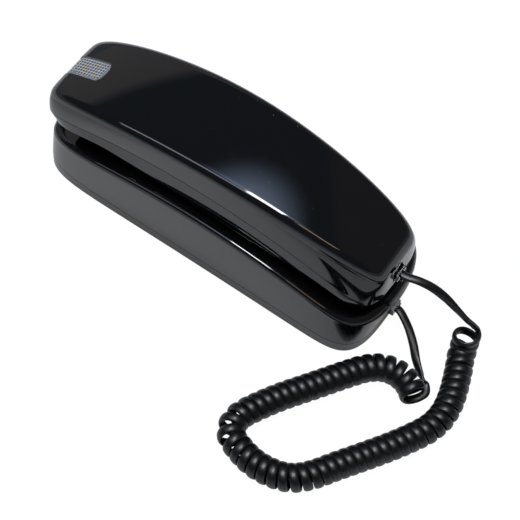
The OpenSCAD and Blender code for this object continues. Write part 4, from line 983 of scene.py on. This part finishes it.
def sweep():
    """A white floor that runs level for 6 m and turns up into a low backdrop all round."""
    profile = [(0.001, 0), (1.5, 0), (6, 0), (6.4, 0.02), (6.8, 0.12), (7.1, 0.35), (7.3, 0.75), (7.35, 1.7),
               (7.4, 1.7), (7.35, 0.75), (7.15, 0.3), (6.8, 0.05), (6.4, -0.05), (6, -0.05), (0.001, -0.05)]
    obj = revolve("floor", [(r / MM, z / MM) for r, z in profile], (-BASE_X, 0, 0))
    obj.data.polygons.foreach_set("use_smooth", [True] * len(obj.data.polygons))
    made, tree, shader = material("white_paper_sweep", "#f0f0f0", roughness=0.9)
    out = tree.nodes["Material Output"]
    glow = node(tree, "ShaderNodeEmission", {"Strength": 1.04})
    path = node(tree, "ShaderNodeLightPath")
    # The paper shows white to the camera and keeps a part of its shadow; reflections keep more of it
    seen = node(tree, "ShaderNodeMath", {"operation": "MULTIPLY"}, i0=path.outputs["Is Camera Ray"])
    seen.inputs[1].default_value = 0.94
    through = node(tree, "ShaderNodeMath", {"operation": "MAXIMUM"}, i0=path.outputs["Is Glossy Ray"],
                   i1=path.outputs["Is Transmission Ray"])
    mirrored = node(tree, "ShaderNodeMath", {"operation": "MULTIPLY"}, i0=through.outputs["Value"])
    mirrored.inputs[1].default_value = 0.12
    share = node(tree, "ShaderNodeMath", {"operation": "MAXIMUM"}, i0=seen.outputs["Value"],
                 i1=mirrored.outputs["Value"])
    mix = node(tree, "ShaderNodeMixShader", {}, i0=share.outputs["Value"], i1=shader.outputs["BSDF"],
               i2=glow.outputs["Emission"])
    tree.links.new(mix.outputs["Shader"], out.inputs["Surface"])
    dress(obj, made)


def lamp(name, place, size, watts, tint="#ffffff"):
    """A softbox that faces straight down."""
    light = bpy.data.lights.new(name, "AREA")
    light.shape = "RECTANGLE"
    light.size, light.size_y = size
    light.energy = watts
    light.color = colour(tint)[:3]
    obj = bpy.data.objects.new(name, light)
    bpy.context.scene.collection.objects.link(obj)
    obj.location = place


def room():
    """A dim slate ceiling, with paler walls beyond two edges and all round near the horizon."""
    world = bpy.data.worlds.new("studio")
    bpy.context.scene.world = world
    world.use_nodes = True
    tree = world.node_tree
    back = tree.nodes["Background"]
    way = node(tree, "ShaderNodeTexCoord").outputs["Generated"]
    shade_ = None
    walls = (((-0.247, 0.524, -0.815), 0.03, "#a39fa1"), ((0.685, 0.570, -0.454), 0.02, "#626164"))
    for facing, soft, tint in walls:
        side = node(tree, "ShaderNodeVectorMath", {"operation": "DOT_PRODUCT"}, i0=way)
        side.inputs[1].default_value = facing
        past = node(tree, "ShaderNodeMapRange", {"From Min": -soft, "From Max": soft},
                    Value=side.outputs["Value"])
        mix = node(tree, "ShaderNodeMix", {"data_type": "RGBA"}, Factor=past.outputs["Result"])
        if shade_ is None:
            mix.inputs[6].default_value = colour("#46515c")
        else:
            tree.links.new(shade_, mix.inputs[6])
        mix.inputs[7].default_value = colour(tint)
        shade_ = mix.outputs[2]
    # The ceiling glows round the key softbox
    near = node(tree, "ShaderNodeVectorMath", {"operation": "DOT_PRODUCT"}, i0=way)
    near.inputs[1].default_value = (-0.07, 0.14, 0.988)
    close = node(tree, "ShaderNodeMapRange", {"From Min": 0.94, "From Max": 0.99},
                 Value=near.outputs["Value"])
    fall = node(tree, "ShaderNodeMath", {"operation": "POWER"}, i0=close.outputs["Result"])
    fall.inputs[1].default_value = 2.2
    glow = node(tree, "ShaderNodeVectorMath", {"operation": "SCALE"}, Scale=fall.outputs["Value"])
    glow.inputs[0].default_value = (1.9, 2.4, 3.4)
    lit = node(tree, "ShaderNodeVectorMath", {"operation": "ADD"}, i0=shade_, i1=glow.outputs["Vector"])
    tree.links.new(lit.outputs["Vector"], back.inputs["Color"])


sweep()
lamp("key_softbox", (0.03, -0.02, 2.0), (0.42, 0.85), 28)
lamp("warm_panel", (0.66, -0.2, 2.0), (0.5, 0.45), 3, "#ffe0b4")
lamp("cool_strip", (-1.2, -0.5, 2.0), (2.2, 0.4), 10, "#e4ecff")
room()
bpy.context.scene.view_settings.view_transform = "Standard"
